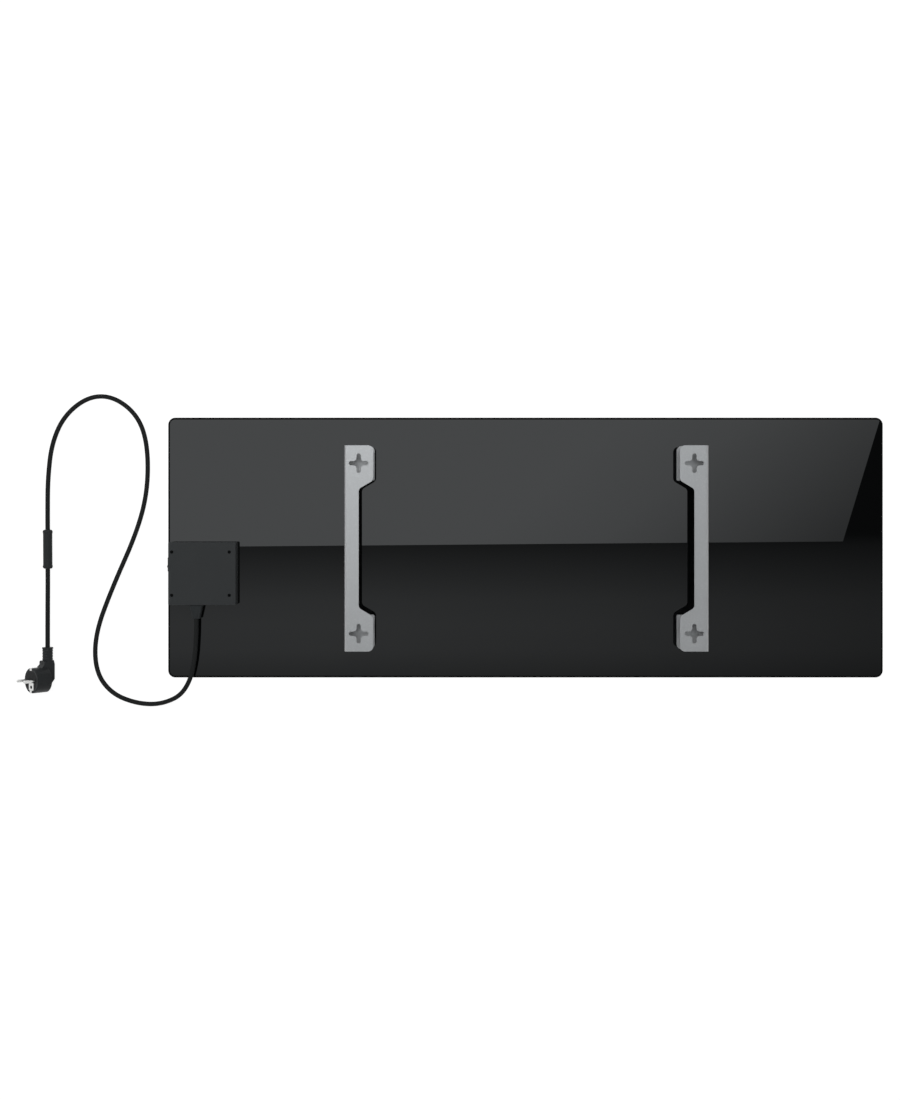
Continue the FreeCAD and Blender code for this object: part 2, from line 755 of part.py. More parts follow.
# Terminal block in line with the cord, thermal cutout against the glass
keep("terminal_block", block("terminals", ("cord_x - block_length / 2", "block_low", "floor_high"),
                             ("block_length", "block_width", "block_height")))
cutout_can = rod("cutout_can", ("cutout_x", "upper_blade_y", "glass_back"), "cutout_radius", "cutout_height")
cutout_blades = [block(f"cutout_blade_{i}",
                       (f"cutout_x + {side} * cutout_blade_offset - cutout_blade_thick / 2",
                        "upper_blade_y - cutout_blade_width / 2", "glass_back + cutout_height"),
                       ("cutout_blade_thick", "cutout_blade_width", "cutout_blade_height"))
                 for i, side in enumerate((-1, 1))]
keep("thermal_cutout", cutout_can)
keep("cutout_blades", group("cutout_blade_pair", cutout_blades))


# Rocker switch: a housing with a bezel, a rocker on stub axles and two blades
def switch_housing():
    body = block("switch_body",
                 ("box_left", "switch_y - switch_body_length / 2", "wire_level - switch_body_height / 2"),
                 ("box_wall + switch_depth", "switch_body_length", "switch_body_height"))
    bezel = block("switch_bezel",
                  ("box_left - bezel_thick", "switch_y - bezel_length / 2", "wire_level - bezel_height / 2"),
                  ("bezel_thick", "bezel_length", "bezel_height"))
    well = block("switch_well",
                 ("box_left - bezel_thick - overrun", "switch_y - well_length / 2",
                  "wire_level - well_height / 2"),
                 ("bezel_thick + overrun + box_wall + switch_depth - switch_wall",
                  "well_length", "well_height"))
    seat = rod("axle_seat", ("pivot_x", "switch_y", "wire_level - well_height / 2 - rocker_axle_reach"),
               "rocker_axle_radius + rocker_axle_clearance", "well_height + 2 * rocker_axle_reach")
    return cut("switch_case", fuse("switch_blank", [body, bezel]), [well, seat])


def switch_rocker():
    """Rocker about its axle, drawn level and then turned to its off position."""
    thick = "(well_height - 2 * rocker_gap)"
    half = "(well_length / 2 - rocker_gap)"
    drum = rod("rocker_drum", ("0", "0", f"-{thick} / 2"), "rocker_radius", thick)
    waist = block("rocker_waist", ("-rocker_radius", f"-{half} + rocker_gap", f"-{thick} / 2"),
                  ("2 * rocker_radius", f"2 * ({half} - rocker_gap)", thick))
    front = block("rocker_front", ("-rocker_radius - overrun", f"-{half}", f"-{thick} / 2"),
                  ("rocker_radius + overrun + rocker_axle_radius * 2", f"2 * {half}", thick))
    dish = rod("rocker_dish",
               ("-rocker_radius + rocker_dish_depth - rocker_dish_radius", "0", f"-{thick} / 2"),
               "rocker_dish_radius", thick)
    axle = rod("rocker_axle", ("0", "0", f"-{thick} / 2 - rocker_axle_reach - rocker_gap / 2"),
               "rocker_axle_radius", f"{thick} + 2 * rocker_axle_reach + rocker_gap")
    shape = doc.addObject("Part::MultiCommon", "rocker_core")
    shape.Shapes = [drum, waist, front]
    item = fuse("rocker", [cut("rocker_face", shape, [dish]), axle])
    place_at(item, ("pivot_x", "switch_y", "wire_level"))
    item.Placement.Rotation = FreeCAD.Rotation(FreeCAD.Vector(0, 0, 1), 1)
    bind(item, "Placement.Rotation.Angle", "-rocker_tilt")
    return item


keep("switch_housing", switch_housing())
keep("switch_rocker", switch_rocker())
switch_blades = [block(f"switch_blade_{i}",
                       ("switch_back", f"{spot} - switch_blade_width / 2",
                        "wire_level - switch_blade_thick / 2"),
                       ("switch_blade_length", "switch_blade_width", "switch_blade_thick"))
                 for i, spot in enumerate(("lower_blade_y", "upper_blade_y"))]
keep("switch_blades", group("switch_blade_pair", switch_blades))


# Strain relief boot: tapered outside the wall, necked in the wall, flanged inside
def boot():
    body = new_body("boot")

    def section(name, y, width, height):
        return rectangle(sketch(body, name, "XZ_Plane", f"-({y})"),
                         (f"cord_x - {width} / 2", f"wire_level - {height} / 2"),
                         (f"cord_x + {width} / 2", f"wire_level + {height} / 2"))
    root = section("boot_root", "box_low", "boot_root_width", "boot_root_height")
    tip = section("boot_tip_outline", "boot_tip", "boot_tip_width", "boot_tip_height")
    doc.recompute()
    taper = body.newObject("PartDesign::AdditiveLoft", "boot_taper")
    taper.Profile = root
    taper.Sections = [(tip, [""])]
    doc.recompute()
    half = number("boot_length") / 2
    fillet(body, "boot_edges", "boot_edge_round", lambda edge, mid: edge.BoundBox.YLength > half)
    pad(body, section("boot_neck", "box_low", "boot_neck_width", "boot_neck_height"), "box_wall", back=True)
    pad(body, section("boot_flange", "box_low + box_wall", "boot_root_width", "boot_root_height"),
        "boot_flange_thick", back=True)
    bore = circle(sketch(body, "boot_bore", "XZ_Plane", "-boot_tip + overrun"),
                  ("cord_x", "wire_level"), "cord_bore")
    pocket(body, bore, "boot_length + box_wall + boot_flange_thick + 2 * overrun")
    return body


keep("strain_relief", boot())
keep("cord_tail", rod("tail", ("cord_x", "boot_tip", "wire_level"), "cord_diameter / 2",
                      "tail_end - boot_tip", "y"))
clamp_blank = block("clamp_blank",
                    ("cord_x - clamp_screw_offset - clamp_post_radius", "clamp_low", "clamp_seat"),
                    ("2 * (clamp_screw_offset + clamp_post_radius)", "clamp_length", "clamp_thick"))
clamp_hump = rod("clamp_hump", ("cord_x", "clamp_low", "wire_level"), "cord_diameter / 2 + clamp_thick",
                 "clamp_length", "y")
clamp_below = block("clamp_below", ("cord_x - 2 * clamp_screw_offset", "clamp_low", "floor_high"),
                    ("4 * clamp_screw_offset", "clamp_length", "clamp_seat - floor_high"))
clamp_bore = rod("clamp_bore", ("cord_x", "clamp_low", "wire_level"), "cord_bore", "clamp_length", "y")
clamp_holes = [rod(f"clamp_hole_{i}", (*spot, "clamp_seat"), pilot, "clamp_thick")
               for i, spot in enumerate(clamp_spots)]
keep("cord_clamp", cut("clamp", fuse("clamp_bridge", [clamp_blank, clamp_hump]),
                       [clamp_below, clamp_bore, *clamp_holes]))


# Share of the shorter of two runs that the arc between them takes up
arc_run_share = 0.45


def tube(points, radius, note=None):
    """Round tube along straight runs joined by tangent arcs, each as wide as its two runs allow."""
    edges, radii = [], []
    start = points[0]
    for before, corner, after in zip(points, points[1:], points[2:]):
        run_in, run_out = corner - before, after - corner
        reach = arc_run_share * min(run_in.Length, run_out.Length)
        turn = run_in.getAngle(run_out)
        way_in, way_out = FreeCAD.Vector(run_in).normalize(), FreeCAD.Vector(run_out).normalize()
        bend = reach / math.tan(turn / 2)
        low, high = corner - way_in * reach, corner + way_out * reach
        centre_way = (way_out - way_in).normalize()
        middle = corner + centre_way * (bend / math.cos(turn / 2) - bend)
        edges += [Part.LineSegment(start, low).toShape(), Part.Arc(low, middle, high).toShape()]
        radii.append(bend)
        start = high
    edges.append(Part.LineSegment(start, points[-1]).toShape())
    path = Part.Wire(edges)
    section = Part.Wire([Part.Circle(points[0], points[1] - points[0], radius).toShape()])
    solid = path.makePipeShell([section], True, False)
    expected = math.pi * radius ** 2 * path.Length
    if abs(solid.Volume - expected) > 0.001 * expected:
        raise RuntimeError("a tube's volume departs from its section times its length")
    if note:
        print(note, "length", round(path.Length, 1), "radii", [round(bend, 1) for bend in radii])
    return solid


def point(x, y, z):
    return FreeCAD.Vector(*(number(value) if isinstance(value, str) else value for value in (x, y, z)))


def tubes(label, routes, radius):
    """Tubes along routes; one solid for each route."""
    item = doc.addObject("Part::Feature", label + "_run")
    solids = [tube(route, radius) for route in routes]
    item.Shape = solids[0] if len(solids) == 1 else Part.makeCompound(solids)
    keep(label, item)


# Wires inside the box
wire = number("wire_radius")
level = number("wire_level")
cord_x = number("cord_x")
pitch = number("block_pole_pitch")
tail_end, block_low, block_high = number("tail_end"), number("block_low"), number("block_high")
core_straight_share = 0.3
core_straight = core_straight_share * number("block_gap")
core_pitch = 2 * wire + number("core_gap")


def mains_core(side):
    """One core from the cord's cut end to its pole of the terminal block."""
    start, end = cord_x + side * core_pitch, cord_x + side * pitch
    if side == 0:
        return [point(start, tail_end, level), point(end, block_low, level)]
    return [point(start, tail_end, level), point(start, tail_end + core_straight, level),
            point(end, block_low - core_straight, level), point(end, block_low, level)]


tubes("line_wire", [mains_core(-1)], wire)
tubes("neutral_wire", [mains_core(0)], wire)
tubes("earth_wire", [mains_core(1)], wire)

lower_y, upper_y = number("lower_blade_y"), number("upper_blade_y")
blade_end = number("switch_blade_end")
cutout_out = number("cutout_blade_offset") + number("cutout_blade_thick") / 2
pole_x = cord_x - pitch
tubes("switch_wires", [
    [point(pole_x, block_high, level), point(pole_x, lower_y, level), point(blade_end, lower_y, level)],
    [point(blade_end, upper_y, level), point(number("cutout_x") - cutout_out, upper_y, level)],
    [point(number("cutout_x") + cutout_out, upper_y, level), point("board_left", upper_y, level)]], wire)
feed_y = number("board_low") + 2 * number("board_post_inset") + 2 * wire
tubes("neutral_feed", [[point(cord_x, block_high, level), point(cord_x, feed_y, level),
                        point("board_left", feed_y, level)]], wire)
tab_top = number("film_high") + number("busbar_thick")
tubes("film_leads", [[point(x, "board_low", level), point(x, "lead_y", level), point(x, "lead_y", tab_top)]
                     for x in ("tab_left_x", "tab_right_x")], wire)

# Mains cord: straight over the glass, down past the lower edge, then in loose curves on the floor
rest = number("cord_diameter") / 2 + number("cord_clearance")
sleeve_z = number("choke_rim_radius")
tilt = math.radians(number("plug_tilt"))
plug_z = number("plug_front_depth") * math.sin(tilt) + number("plug_radius") * math.cos(tilt)
neck_z = plug_z - number("plug_cord_setback") * math.sin(tilt)
cord_points = [
    point("cord_x", "boot_tip", "wire_level"), point("cord_x", -167, "wire_level"),
    point(-520, -221, 21.5), point(-558, -241, 10), point(-599, -241, rest), point(-639, -225, rest),
    point(-663, -191, rest), point(-664, -135, rest), point(-638.5, -65, rest),
    point(-599, 24, rest), point(-582.5, 88, rest), point(-582.5, 159, rest), point(-598, 204, rest),
    point(-635, 233, rest), point(-674, 233, rest), point(-711, 204, rest), point(-730.5, 161, rest),
    point(-736.5, 108, rest), point(-736, 58, sleeve_z), point(-735.5, -50, sleeve_z),
    point(-735, -105, neck_z), point(-735, -153.3, neck_z)]
cord = doc.addObject("Part::Feature", "cord_run")
cord.Shape = tube(cord_points, number("cord_diameter") / 2, "cord")
keep("mains_cord", cord)

# Choke on the level stretch of the cord: a moulded sleeve round a ferrite core
sleeve_run = cord_points[-3] - cord_points[-4]
sleeve_place_share = 0.56
sleeve_middle = cord_points[-4] + sleeve_run * sleeve_place_share
sleeve_turn = FreeCAD.Rotation(FreeCAD.Vector(0, 0, 1), sleeve_run)


def on_cord(item):
    item.Placement = FreeCAD.Placement(sleeve_middle, sleeve_turn)
    return item


sleeve_tube = rod("sleeve_tube", ("0", "0", "-choke_length / 2"), "choke_radius", "choke_length")
sleeve_rims = [rod(f"sleeve_rim_{i}", ("0", "0", low), "choke_rim_radius", "choke_rim_length")
               for i, low in enumerate(("-choke_length / 2", "choke_length / 2 - choke_rim_length"))]
sleeve_bore = rod("sleeve_bore", ("0", "0", "-choke_length / 2 - overrun"), "choke_radius - choke_wall",
                  "choke_length + 2 * overrun")
sleeve_blank = fuse("sleeve_blank", [sleeve_tube, *sleeve_rims])
keep("choke_sleeve", on_cord(cut("sleeve", sleeve_blank, [sleeve_bore])))
core_blank = rod("core_blank", ("0", "0", "-choke_length / 2 + choke_core_inset"),
                 "choke_radius - choke_wall - choke_clearance", "choke_length - 2 * choke_core_inset")
core_bore = rod("core_bore", ("0", "0", "-choke_length / 2"), "cord_bore", "choke_length")
keep("choke_core", on_cord(cut("core", core_blank, [core_bore])))

# Plug, drawn about the middle of its face: pins along -X, cord neck along +Y
plug_place = FreeCAD.Placement(
    cord_points[-1] + FreeCAD.Vector(-number("plug_cord_setback") * math.cos(tilt), -number("plug_neck_top"),
                                     plug_z - neck_z),
    FreeCAD.Rotation(FreeCAD.Vector(0, 1, 0), number("plug_tilt")))


def in_plug(item):
    item.Placement = plug_place
    return item


def plug_body():
    body = new_body("plug_moulding")
    front = circle(sketch(body, "plug_front", "YZ_Plane"), ("0", "0"), "plug_radius")
    pad(body, front, "plug_front_depth")
    fillet(body, "plug_face_edge", "plug_face_round", lambda edge, mid: near(mid.x, 0))
    root = f"{plug_root_depth_share} * plug_front_depth"
    height = f"{plug_root_height_share} * plug_radius"
    side = polygon(sketch(body, "plug_side"), [
        (root, f"-{height}"),
        (f"{plug_heel_depth_share} * plug_depth", f"-{plug_heel_drop_share} * plug_radius"),
        ("plug_depth", "0"), ("plug_depth", f"{plug_shoulder_fall_share} * plug_shoulder_height"),
        ("plug_depth - plug_shoulder_inset", "plug_shoulder_height"),
        ("plug_cord_setback - plug_shoulder_half", "plug_shoulder_height"),
        ("plug_cord_setback - plug_shoulder_half", f"{plug_shoulder_fall_share} * plug_shoulder_height"),
        (root, height)])
    pad(body, side, "2 * plug_half_thick", both=True)
    half, back = number("plug_half_thick"), number("plug_front_depth")
    fillet(body, "plug_side_edges", "plug_edge_round",
           lambda edge, mid: near(abs(mid.z), half) and edge.BoundBox.ZLength < 1e-4 and mid.x > back + 1e-3
           and edge.Curve.TypeId == "Part::GeomLine")
    neck = circle(sketch(body, "plug_neck", "XZ_Plane", "-plug_shoulder_height / 2"),
                  ("plug_cord_setback", "0"), "plug_neck_radius")
    pad(body, neck, "plug_neck_top - plug_shoulder_height / 2", back=True)
    collar = circle(sketch(body, "plug_collar", "XZ_Plane", "-plug_neck_top"), ("plug_cord_setback", "0"),
                    "plug_collar_radius")
    pad(body, collar, "plug_collar_length")
    face = circle(sketch(body, "plug_face_well", "YZ_Plane"), ("0", "0"), "plug_insert_radius")
    pocket(body, face, "plug_insert_depth", back=True)
    for side_name, sign in (("upper", 1), ("lower", -1)):
        outside = f"{sign} * (plug_radius + overrun)"
        seat = f"{sign} * (plug_radius - earth_clip_thick - earth_clip_sink)"
        groove = rectangle(sketch(body, f"clip_groove_{side_name}", "YZ_Plane"),
                           (seat, "-earth_clip_width / 2"), (outside, "earth_clip_width / 2"))
        pocket(body, groove, "earth_clip_length", back=True)
    return body


plug = keep("plug_body", in_plug(plug_body()))
insert_blank = rod("insert_blank", ("0", "0", "0"), "plug_insert_radius", "plug_insert_depth", "x")
pin_cuts = [rod(f"pin_cut_{i}", ("0", "0", f"{side} * pin_pitch / 2"), "pin_radius", "pin_root", "x")
            for i, side in enumerate((-1, 1))]
plate_low = "-plug_insert_radius"
plate_long = "plug_insert_radius - earth_hole_drop + earth_plate_width / 2"
plate_seat = block("plate_seat", ("0", plate_low, "-earth_plate_width / 2"),
                   ("earth_plate_thick", plate_long, "earth_plate_width"))
earth_bore = rod("earth_bore", ("0", "-earth_hole_drop", "0"), "earth_hole_radius", "plug_insert_depth", "x")
keep("plug_insert", in_plug(cut("insert", insert_blank, [*pin_cuts, plate_seat, earth_bore])))
pins = [rod(f"pin_{i}", ("-pin_length", "0", f"{side} * pin_pitch / 2"), "pin_radius",
            "pin_length + pin_root", "x")
        for i, side in enumerate((-1, 1))]
keep("plug_pins", in_plug(group("pin_pair", pins)))
plate_round = rod("plate_round", ("0", "0", "0"), "plug_insert_radius", "earth_plate_thick", "x")
plate_core = doc.addObject("Part::Common", "plate_core")
plate_core.Base = plate_round
plate_core.Tool = block("plate_blank", ("0", plate_low, "-earth_plate_width / 2"),
                        ("earth_plate_thick", plate_long, "earth_plate_width"))
plate_hole = rod("plate_hole", ("0", "-earth_hole_drop", "0"), "earth_hole_radius", "earth_plate_thick", "x")
keep("earth_plate", in_plug(cut("plate", plate_core, [plate_hole])))


def earth_clip(name, side):
    """Earth clip along the plug's side, folded over its rim onto the face."""
    half_width = "earth_clip_width / 2"
    inner = "-plug_radius + earth_clip_sink"
    strip_low = "plug_radius - earth_clip_thick - earth_clip_sink" if side > 0 else inner
    tab_low = "plug_radius - earth_tab_length - earth_clip_sink" if side > 0 else inner
    strip = block(name + "_strip", ("-earth_tab_thick", strip_low, "-" + half_width),
                  ("earth_clip_length + earth_tab_thick", "earth_clip_thick", "earth_clip_width"))
    tab = block(name + "_tab", ("-earth_tab_thick", tab_low, "-" + half_width),
                ("earth_tab_thick", "earth_tab_length", "earth_clip_width"))
    return fuse(name, [strip, tab])


clips = [earth_clip("upper_clip", 1), earth_clip("lower_clip", -1)]
keep("earth_clips", in_plug(group("clip_pair", clips)))

doc.recompute()
for item in doc.Objects:
    if {"Invalid", "Error"} & set(item.State):
        raise RuntimeError(f"{item.Label} failed: {item.State}")
for label, item in nodes.items():
    if item.Shape.isNull() or not item.Shape.isValid() or not item.Shape.Solids:
        raise RuntimeError(f"{label} has no valid solid")

os.makedirs("parts", exist_ok=True)
for label, item in nodes.items():
    item.Shape.exportStep(f"parts/{label}.step")
print(len(nodes), "nodes")
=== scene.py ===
import math
import bmesh
import bpy
from mathutils import Matrix, Vector


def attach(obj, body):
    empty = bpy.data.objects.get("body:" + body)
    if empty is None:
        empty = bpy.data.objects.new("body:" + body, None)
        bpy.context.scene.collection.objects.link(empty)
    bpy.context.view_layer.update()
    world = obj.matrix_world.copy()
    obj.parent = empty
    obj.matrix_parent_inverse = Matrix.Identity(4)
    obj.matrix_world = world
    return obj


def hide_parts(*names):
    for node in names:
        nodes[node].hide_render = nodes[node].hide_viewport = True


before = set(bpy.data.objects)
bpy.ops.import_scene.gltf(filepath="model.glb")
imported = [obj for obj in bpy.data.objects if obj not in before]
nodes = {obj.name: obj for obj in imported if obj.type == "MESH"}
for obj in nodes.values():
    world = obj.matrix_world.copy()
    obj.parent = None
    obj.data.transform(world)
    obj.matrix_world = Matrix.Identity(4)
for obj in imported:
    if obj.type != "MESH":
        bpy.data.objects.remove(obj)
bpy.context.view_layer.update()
scene = bpy.context.scene
print("frame loaded,", len(nodes), "nodes")


def linearColour(hexText):
    channels = [int(hexText[i:i + 2], 16) / 255 for i in (1, 3, 5)]
    linear = [c / 12.92 if c <= 0.04045 else ((c + 0.055) / 1.055) ** 2.4 for c in channels]
    return (*linear, 1.0)


# A Mix node's sockets go by number: 0 is the share, 2 and 3 are its numbers, 6 and 7 its colours
def addNode(tree, kind, settings=None, links=None):
    node = tree.nodes.new(kind)
    for name, value in (settings or {}).items():
        if isinstance(name, int) or name in node.inputs:
            node.inputs[name].default_value = value
        else:
            setattr(node, name, value)
    for socket, source in (links or {}).items():
        tree.links.new(source, node.inputs[socket])
    return node


def startMaterial(name):
    material = bpy.data.materials.new(name)
    material.use_nodes = True
    tree = material.node_tree
    return material, tree, tree.nodes["Principled BSDF"]


def dress(material, *names):
    for name in names:
        slots = nodes[name].data.materials
        slots.clear()
        slots.append(material)


def metres(sizeMm):
    return sizeMm / 1000


def perMetre(sizeMm):
    return 1000 / sizeMm


# Panes: float glass with black enamel fired on, a crisp dark mirror with faint handling smears and a
# ground rim that stays dull; the rim's darker tone is painted shade along the edges
panelGlass = {
    "enamel": "#080909", "enamelThin": "#0b0c0d", "rim": "#040404",
    "smearMm": 70, "smearStretch": 0.35, "smearDetail": 4, "smearBreak": 0.6, "smearSpan": (0.35, 0.75),
    "roughLow": 0.0, "roughHigh": 0.012, "rimRough": 0.6,
    "shine": 0.5, "rimShine": 0.04, "ior": 1.52,
    "rimStart": 0.999, "rimFull": 0.995,  # the upright part of the normal where the rim sets in
}


def enamelledGlass(glass):
    material, tree, shader = startMaterial("enamelledFloatGlass")
    coords = addNode(tree, "ShaderNodeTexCoord")
    wiped = addNode(tree, "ShaderNodeMapping", {"Scale": (glass["smearStretch"], 1, 1)},
                    {"Vector": coords.outputs["Object"]})
    smear = addNode(tree, "ShaderNodeTexNoise",
                    {"Scale": perMetre(glass["smearMm"]), "Detail": glass["smearDetail"],
                     "Roughness": glass["smearBreak"]}, {"Vector": wiped.outputs["Vector"]})
    least, most = glass["smearSpan"]
    shine = addNode(tree, "ShaderNodeMapRange",
                    {"From Min": least, "From Max": most, "To Min": glass["roughLow"],
                     "To Max": glass["roughHigh"]}, {"Value": smear.outputs["Fac"]})
    surface = addNode(tree, "ShaderNodeNewGeometry")
    facing = addNode(tree, "ShaderNodeSeparateXYZ", None, {"Vector": surface.outputs["Normal"]})
    upright = addNode(tree, "ShaderNodeMath", {"operation": "ABSOLUTE"}, {0: facing.outputs["Z"]})
    rim = addNode(tree, "ShaderNodeMapRange",
                  {"From Min": glass["rimStart"], "From Max": glass["rimFull"]},
                  {"Value": upright.outputs["Value"]})
    roughness = addNode(tree, "ShaderNodeMix", {"data_type": "FLOAT", 3: glass["rimRough"]},
                        {0: rim.outputs["Result"], 2: shine.outputs["Result"]})
    gloss = addNode(tree, "ShaderNodeMix",
                    {"data_type": "FLOAT", 2: glass["shine"], 3: glass["rimShine"]},
                    {0: rim.outputs["Result"]})
    enamel = addNode(tree, "ShaderNodeMix",
                     {"data_type": "RGBA", 6: linearColour(glass["enamel"]),
                      7: linearColour(glass["enamelThin"])}, {0: smear.outputs["Fac"]})
    # The rim's tone, laid over the edge band found from the normal, is painted shade
    tone = addNode(tree, "ShaderNodeMix", {"data_type": "RGBA", 7: linearColour(glass["rim"])},
                   {0: rim.outputs["Result"], 6: enamel.outputs[2]})
    shader.inputs["IOR"].default_value = glass["ior"]
    tree.links.new(tone.outputs[2], shader.inputs["Base Color"])
    tree.links.new(roughness.outputs[0], shader.inputs["Roughness"])
    tree.links.new(gloss.outputs[0], shader.inputs["Specular IOR Level"])
    return material


dress(enamelledGlass(panelGlass), "rear_glass", "front_glass")

# Brackets: folded zinc-coated steel under silver-grey powder coat, an even satin with flake and orange
# peel; flake is finer than a pixel, so it is drawn coarser here to show
bracketCoat = {
    "tone": "#acadae", "flakeTone": "#bbbcbd", "shadeTone": "#a5a6a7",
    "flakeMm": 1.3, "flakeSpan": (0.7, 1.0), "flakeMost": 0.4,
    "cloudMm": 90, "cloudDetail": 3,
    "peelMm": 2.5, "peelDetail": 2, "peelDepthMm": 1, "peel": 0.03,
    "metallic": 0.8, "roughLow": 0.38, "roughHigh": 0.46,
}


def powderCoat(coat):
    material, tree, shader = startMaterial("silverPowderCoatedSteel")
    coords = addNode(tree, "ShaderNodeTexCoord")
    flake = addNode(tree, "ShaderNodeTexVoronoi", {"Scale": perMetre(coat["flakeMm"])},
                    {"Vector": coords.outputs["Object"]})
    sparkle = addNode(tree, "ShaderNodeSeparateXYZ", None, {"Vector": flake.outputs["Color"]})
    least, most = coat["flakeSpan"]
    spots = addNode(tree, "ShaderNodeMapRange",
                    {"From Min": least, "From Max": most, "To Max": coat["flakeMost"]},
                    {"Value": sparkle.outputs["X"]})
    cloud = addNode(tree, "ShaderNodeTexNoise",
                    {"Scale": perMetre(coat["cloudMm"]), "Detail": coat["cloudDetail"]},
                    {"Vector": coords.outputs["Object"]})
    ground = addNode(tree, "ShaderNodeMix",
                     {"data_type": "RGBA", 6: linearColour(coat["shadeTone"]),
                      7: linearColour(coat["tone"])}, {0: cloud.outputs["Fac"]})
    tone = addNode(tree, "ShaderNodeMix", {"data_type": "RGBA", 7: linearColour(coat["flakeTone"])},
                   {0: spots.outputs["Result"], 6: ground.outputs[2]})
    rough = addNode(tree, "ShaderNodeMapRange",
                    {"To Min": coat["roughLow"], "To Max": coat["roughHigh"]},
                    {"Value": cloud.outputs["Fac"]})
    peel = addNode(tree, "ShaderNodeTexNoise",
                   {"Scale": perMetre(coat["peelMm"]), "Detail": coat["peelDetail"]},
                   {"Vector": coords.outputs["Object"]})
    bump = addNode(tree, "ShaderNodeBump",
                   {"Strength": coat["peel"], "Distance": metres(coat["peelDepthMm"])},
                   {"Height": peel.outputs["Fac"]})
    shader.inputs["Metallic"].default_value = coat["metallic"]
    tree.links.new(tone.outputs[2], shader.inputs["Base Color"])
    tree.links.new(rough.outputs["Result"], shader.inputs["Roughness"])
    tree.links.new(bump.outputs["Normal"], shader.inputs["Normal"])
    return material


dress(powderCoat(bracketCoat), "left_bracket", "right_bracket")
print("glass and brackets dressed")

# Moulded, extruded and cast plastics share one build: a ground tone, a cloudy second tone and a grained
# skin; real mould grit is finer than a pixel, so each grain is drawn coarser here to show
plasticBuild = {"cloudDetail": 3, "grainDetail": 3, "grainBreak": 0.65, "grainSpan": (0.3, 0.7),
                "roughSpread": 0.06, "grainDepthMm": 0.4, "ior": 1.5, "shine": 0.4}


def mouldedSkin(skin):
    material, tree, shader = startMaterial(skin["name"])
    coords = addNode(tree, "ShaderNodeTexCoord")
    cloud = addNode(tree, "ShaderNodeTexNoise",
                    {"Scale": perMetre(skin["cloudMm"]), "Detail": plasticBuild["cloudDetail"]},
                    {"Vector": coords.outputs["Object"]})
    tone = addNode(tree, "ShaderNodeMix",
                   {"data_type": "RGBA", 6: linearColour(skin["tone"]),
                    7: linearColour(skin["paleTone"])}, {0: cloud.outputs["Fac"]})
    grain = addNode(tree, "ShaderNodeTexNoise",
                    {"Scale": perMetre(skin["grainMm"]), "Detail": plasticBuild["grainDetail"],
                     "Roughness": plasticBuild["grainBreak"]}, {"Vector": coords.outputs["Object"]})
    least, most = plasticBuild["grainSpan"]
    rough = addNode(tree, "ShaderNodeMapRange",
                    {"From Min": least, "From Max": most,
                     "To Min": skin["roughness"] - plasticBuild["roughSpread"],
                     "To Max": skin["roughness"] + plasticBuild["roughSpread"]},
                    {"Value": grain.outputs["Fac"]})
    bump = addNode(tree, "ShaderNodeBump",
                   {"Strength": skin["relief"], "Distance": metres(plasticBuild["grainDepthMm"])},
                   {"Height": grain.outputs["Fac"]})
    shader.inputs["IOR"].default_value = skin.get("ior", plasticBuild["ior"])
    shader.inputs["Specular IOR Level"].default_value = skin.get("shine", plasticBuild["shine"])
    tree.links.new(tone.outputs[2], shader.inputs["Base Color"])
    tree.links.new(rough.outputs["Result"], shader.inputs["Roughness"])
    tree.links.new(bump.outputs["Normal"], shader.inputs["Normal"])
    return material


# Control box: ABS from a spark-eroded mould, flat dark grey with a fine grit that kills reflections
boxSkin = {"name": "sparkErodedAbs", "tone": "#383a3b", "paleTone": "#3d3f40", "cloudMm": 60,
           "grainMm": 1.2, "roughness": 0.62, "relief": 0.18, "ior": 1.54, "shine": 0.16}
# Strain relief and sleeve: soft PVC moulded onto the cord, a little darker and smoother than the box
overmouldSkin = {"name": "overmouldedPvc", "tone": "#313334", "paleTone": "#373a3b", "cloudMm": 25,
                 "grainMm": 0.8, "roughness": 0.5, "relief": 0.1, "ior": 1.53, "shine": 0.1}
# Plug: harder moulded PVC, darker again with a soft satin
plugSkin = {"name": "plugMouldedPvc", "tone": "#2b2d2e", "paleTone": "#343637", "cloudMm": 20,
            "grainMm": 0.8, "roughness": 0.44, "relief": 0.08, "ior": 1.53, "shine": 0.12}
# Plug face: moulded glass-filled nylon, nearly black and dull; its tone is set darker than the body's
# as painted shade, since the face turns towards the lamp
insertSkinPaintedShade = {"name": "glassFilledNylonPaintedShade", "tone": "#0c0d0e", "paleTone": "#111213", "cloudMm": 12,
              "grainMm": 0.6, "roughness": 0.55, "relief": 0.12, "ior": 1.53, "shine": 0.15}
# Cord sheath: PVC drawn over the cores, dark grey with hardly any highlight
sheathSkin = {"name": "extrudedPvcSheath", "tone": "#2a2b2b", "paleTone": "#303131", "cloudMm": 30,
              "grainMm": 1.5, "roughness": 0.55, "relief": 0.05, "ior": 1.53, "shine": 0.03}
# Switch: polished polycarbonate, black with small clear highlights
switchSkin = {"name": "polishedPolycarbonate", "tone": "#101112", "paleTone": "#141516", "cloudMm": 15,
              "grainMm": 1.0, "roughness": 0.24, "relief": 0.02, "ior": 1.58}
# Seals and bonding pads: cast silicone and acrylic foam, dull black
sealSkin = {"name": "castSilicone", "tone": "#111212", "paleTone": "#191a1a", "cloudMm": 20,
            "grainMm": 1.0, "roughness": 0.62, "relief": 0.12}
# Bonding sheets in the slab: laminated EVA, milky and even
bondSkin = {"name": "laminatedEva", "tone": "#c9c9c2", "paleTone": "#d6d6d0", "cloudMm": 40,
            "grainMm": 3.0, "roughness": 0.5, "relief": 0.04}
# Heating film: carbon ink printed on polyester, a dull charcoal
filmSkin = {"name": "carbonPrintedPolyester", "tone": "#1d1d1e", "paleTone": "#29292a", "cloudMm": 8,
            "grainMm": 1.5, "roughness": 0.6, "relief": 0.1}
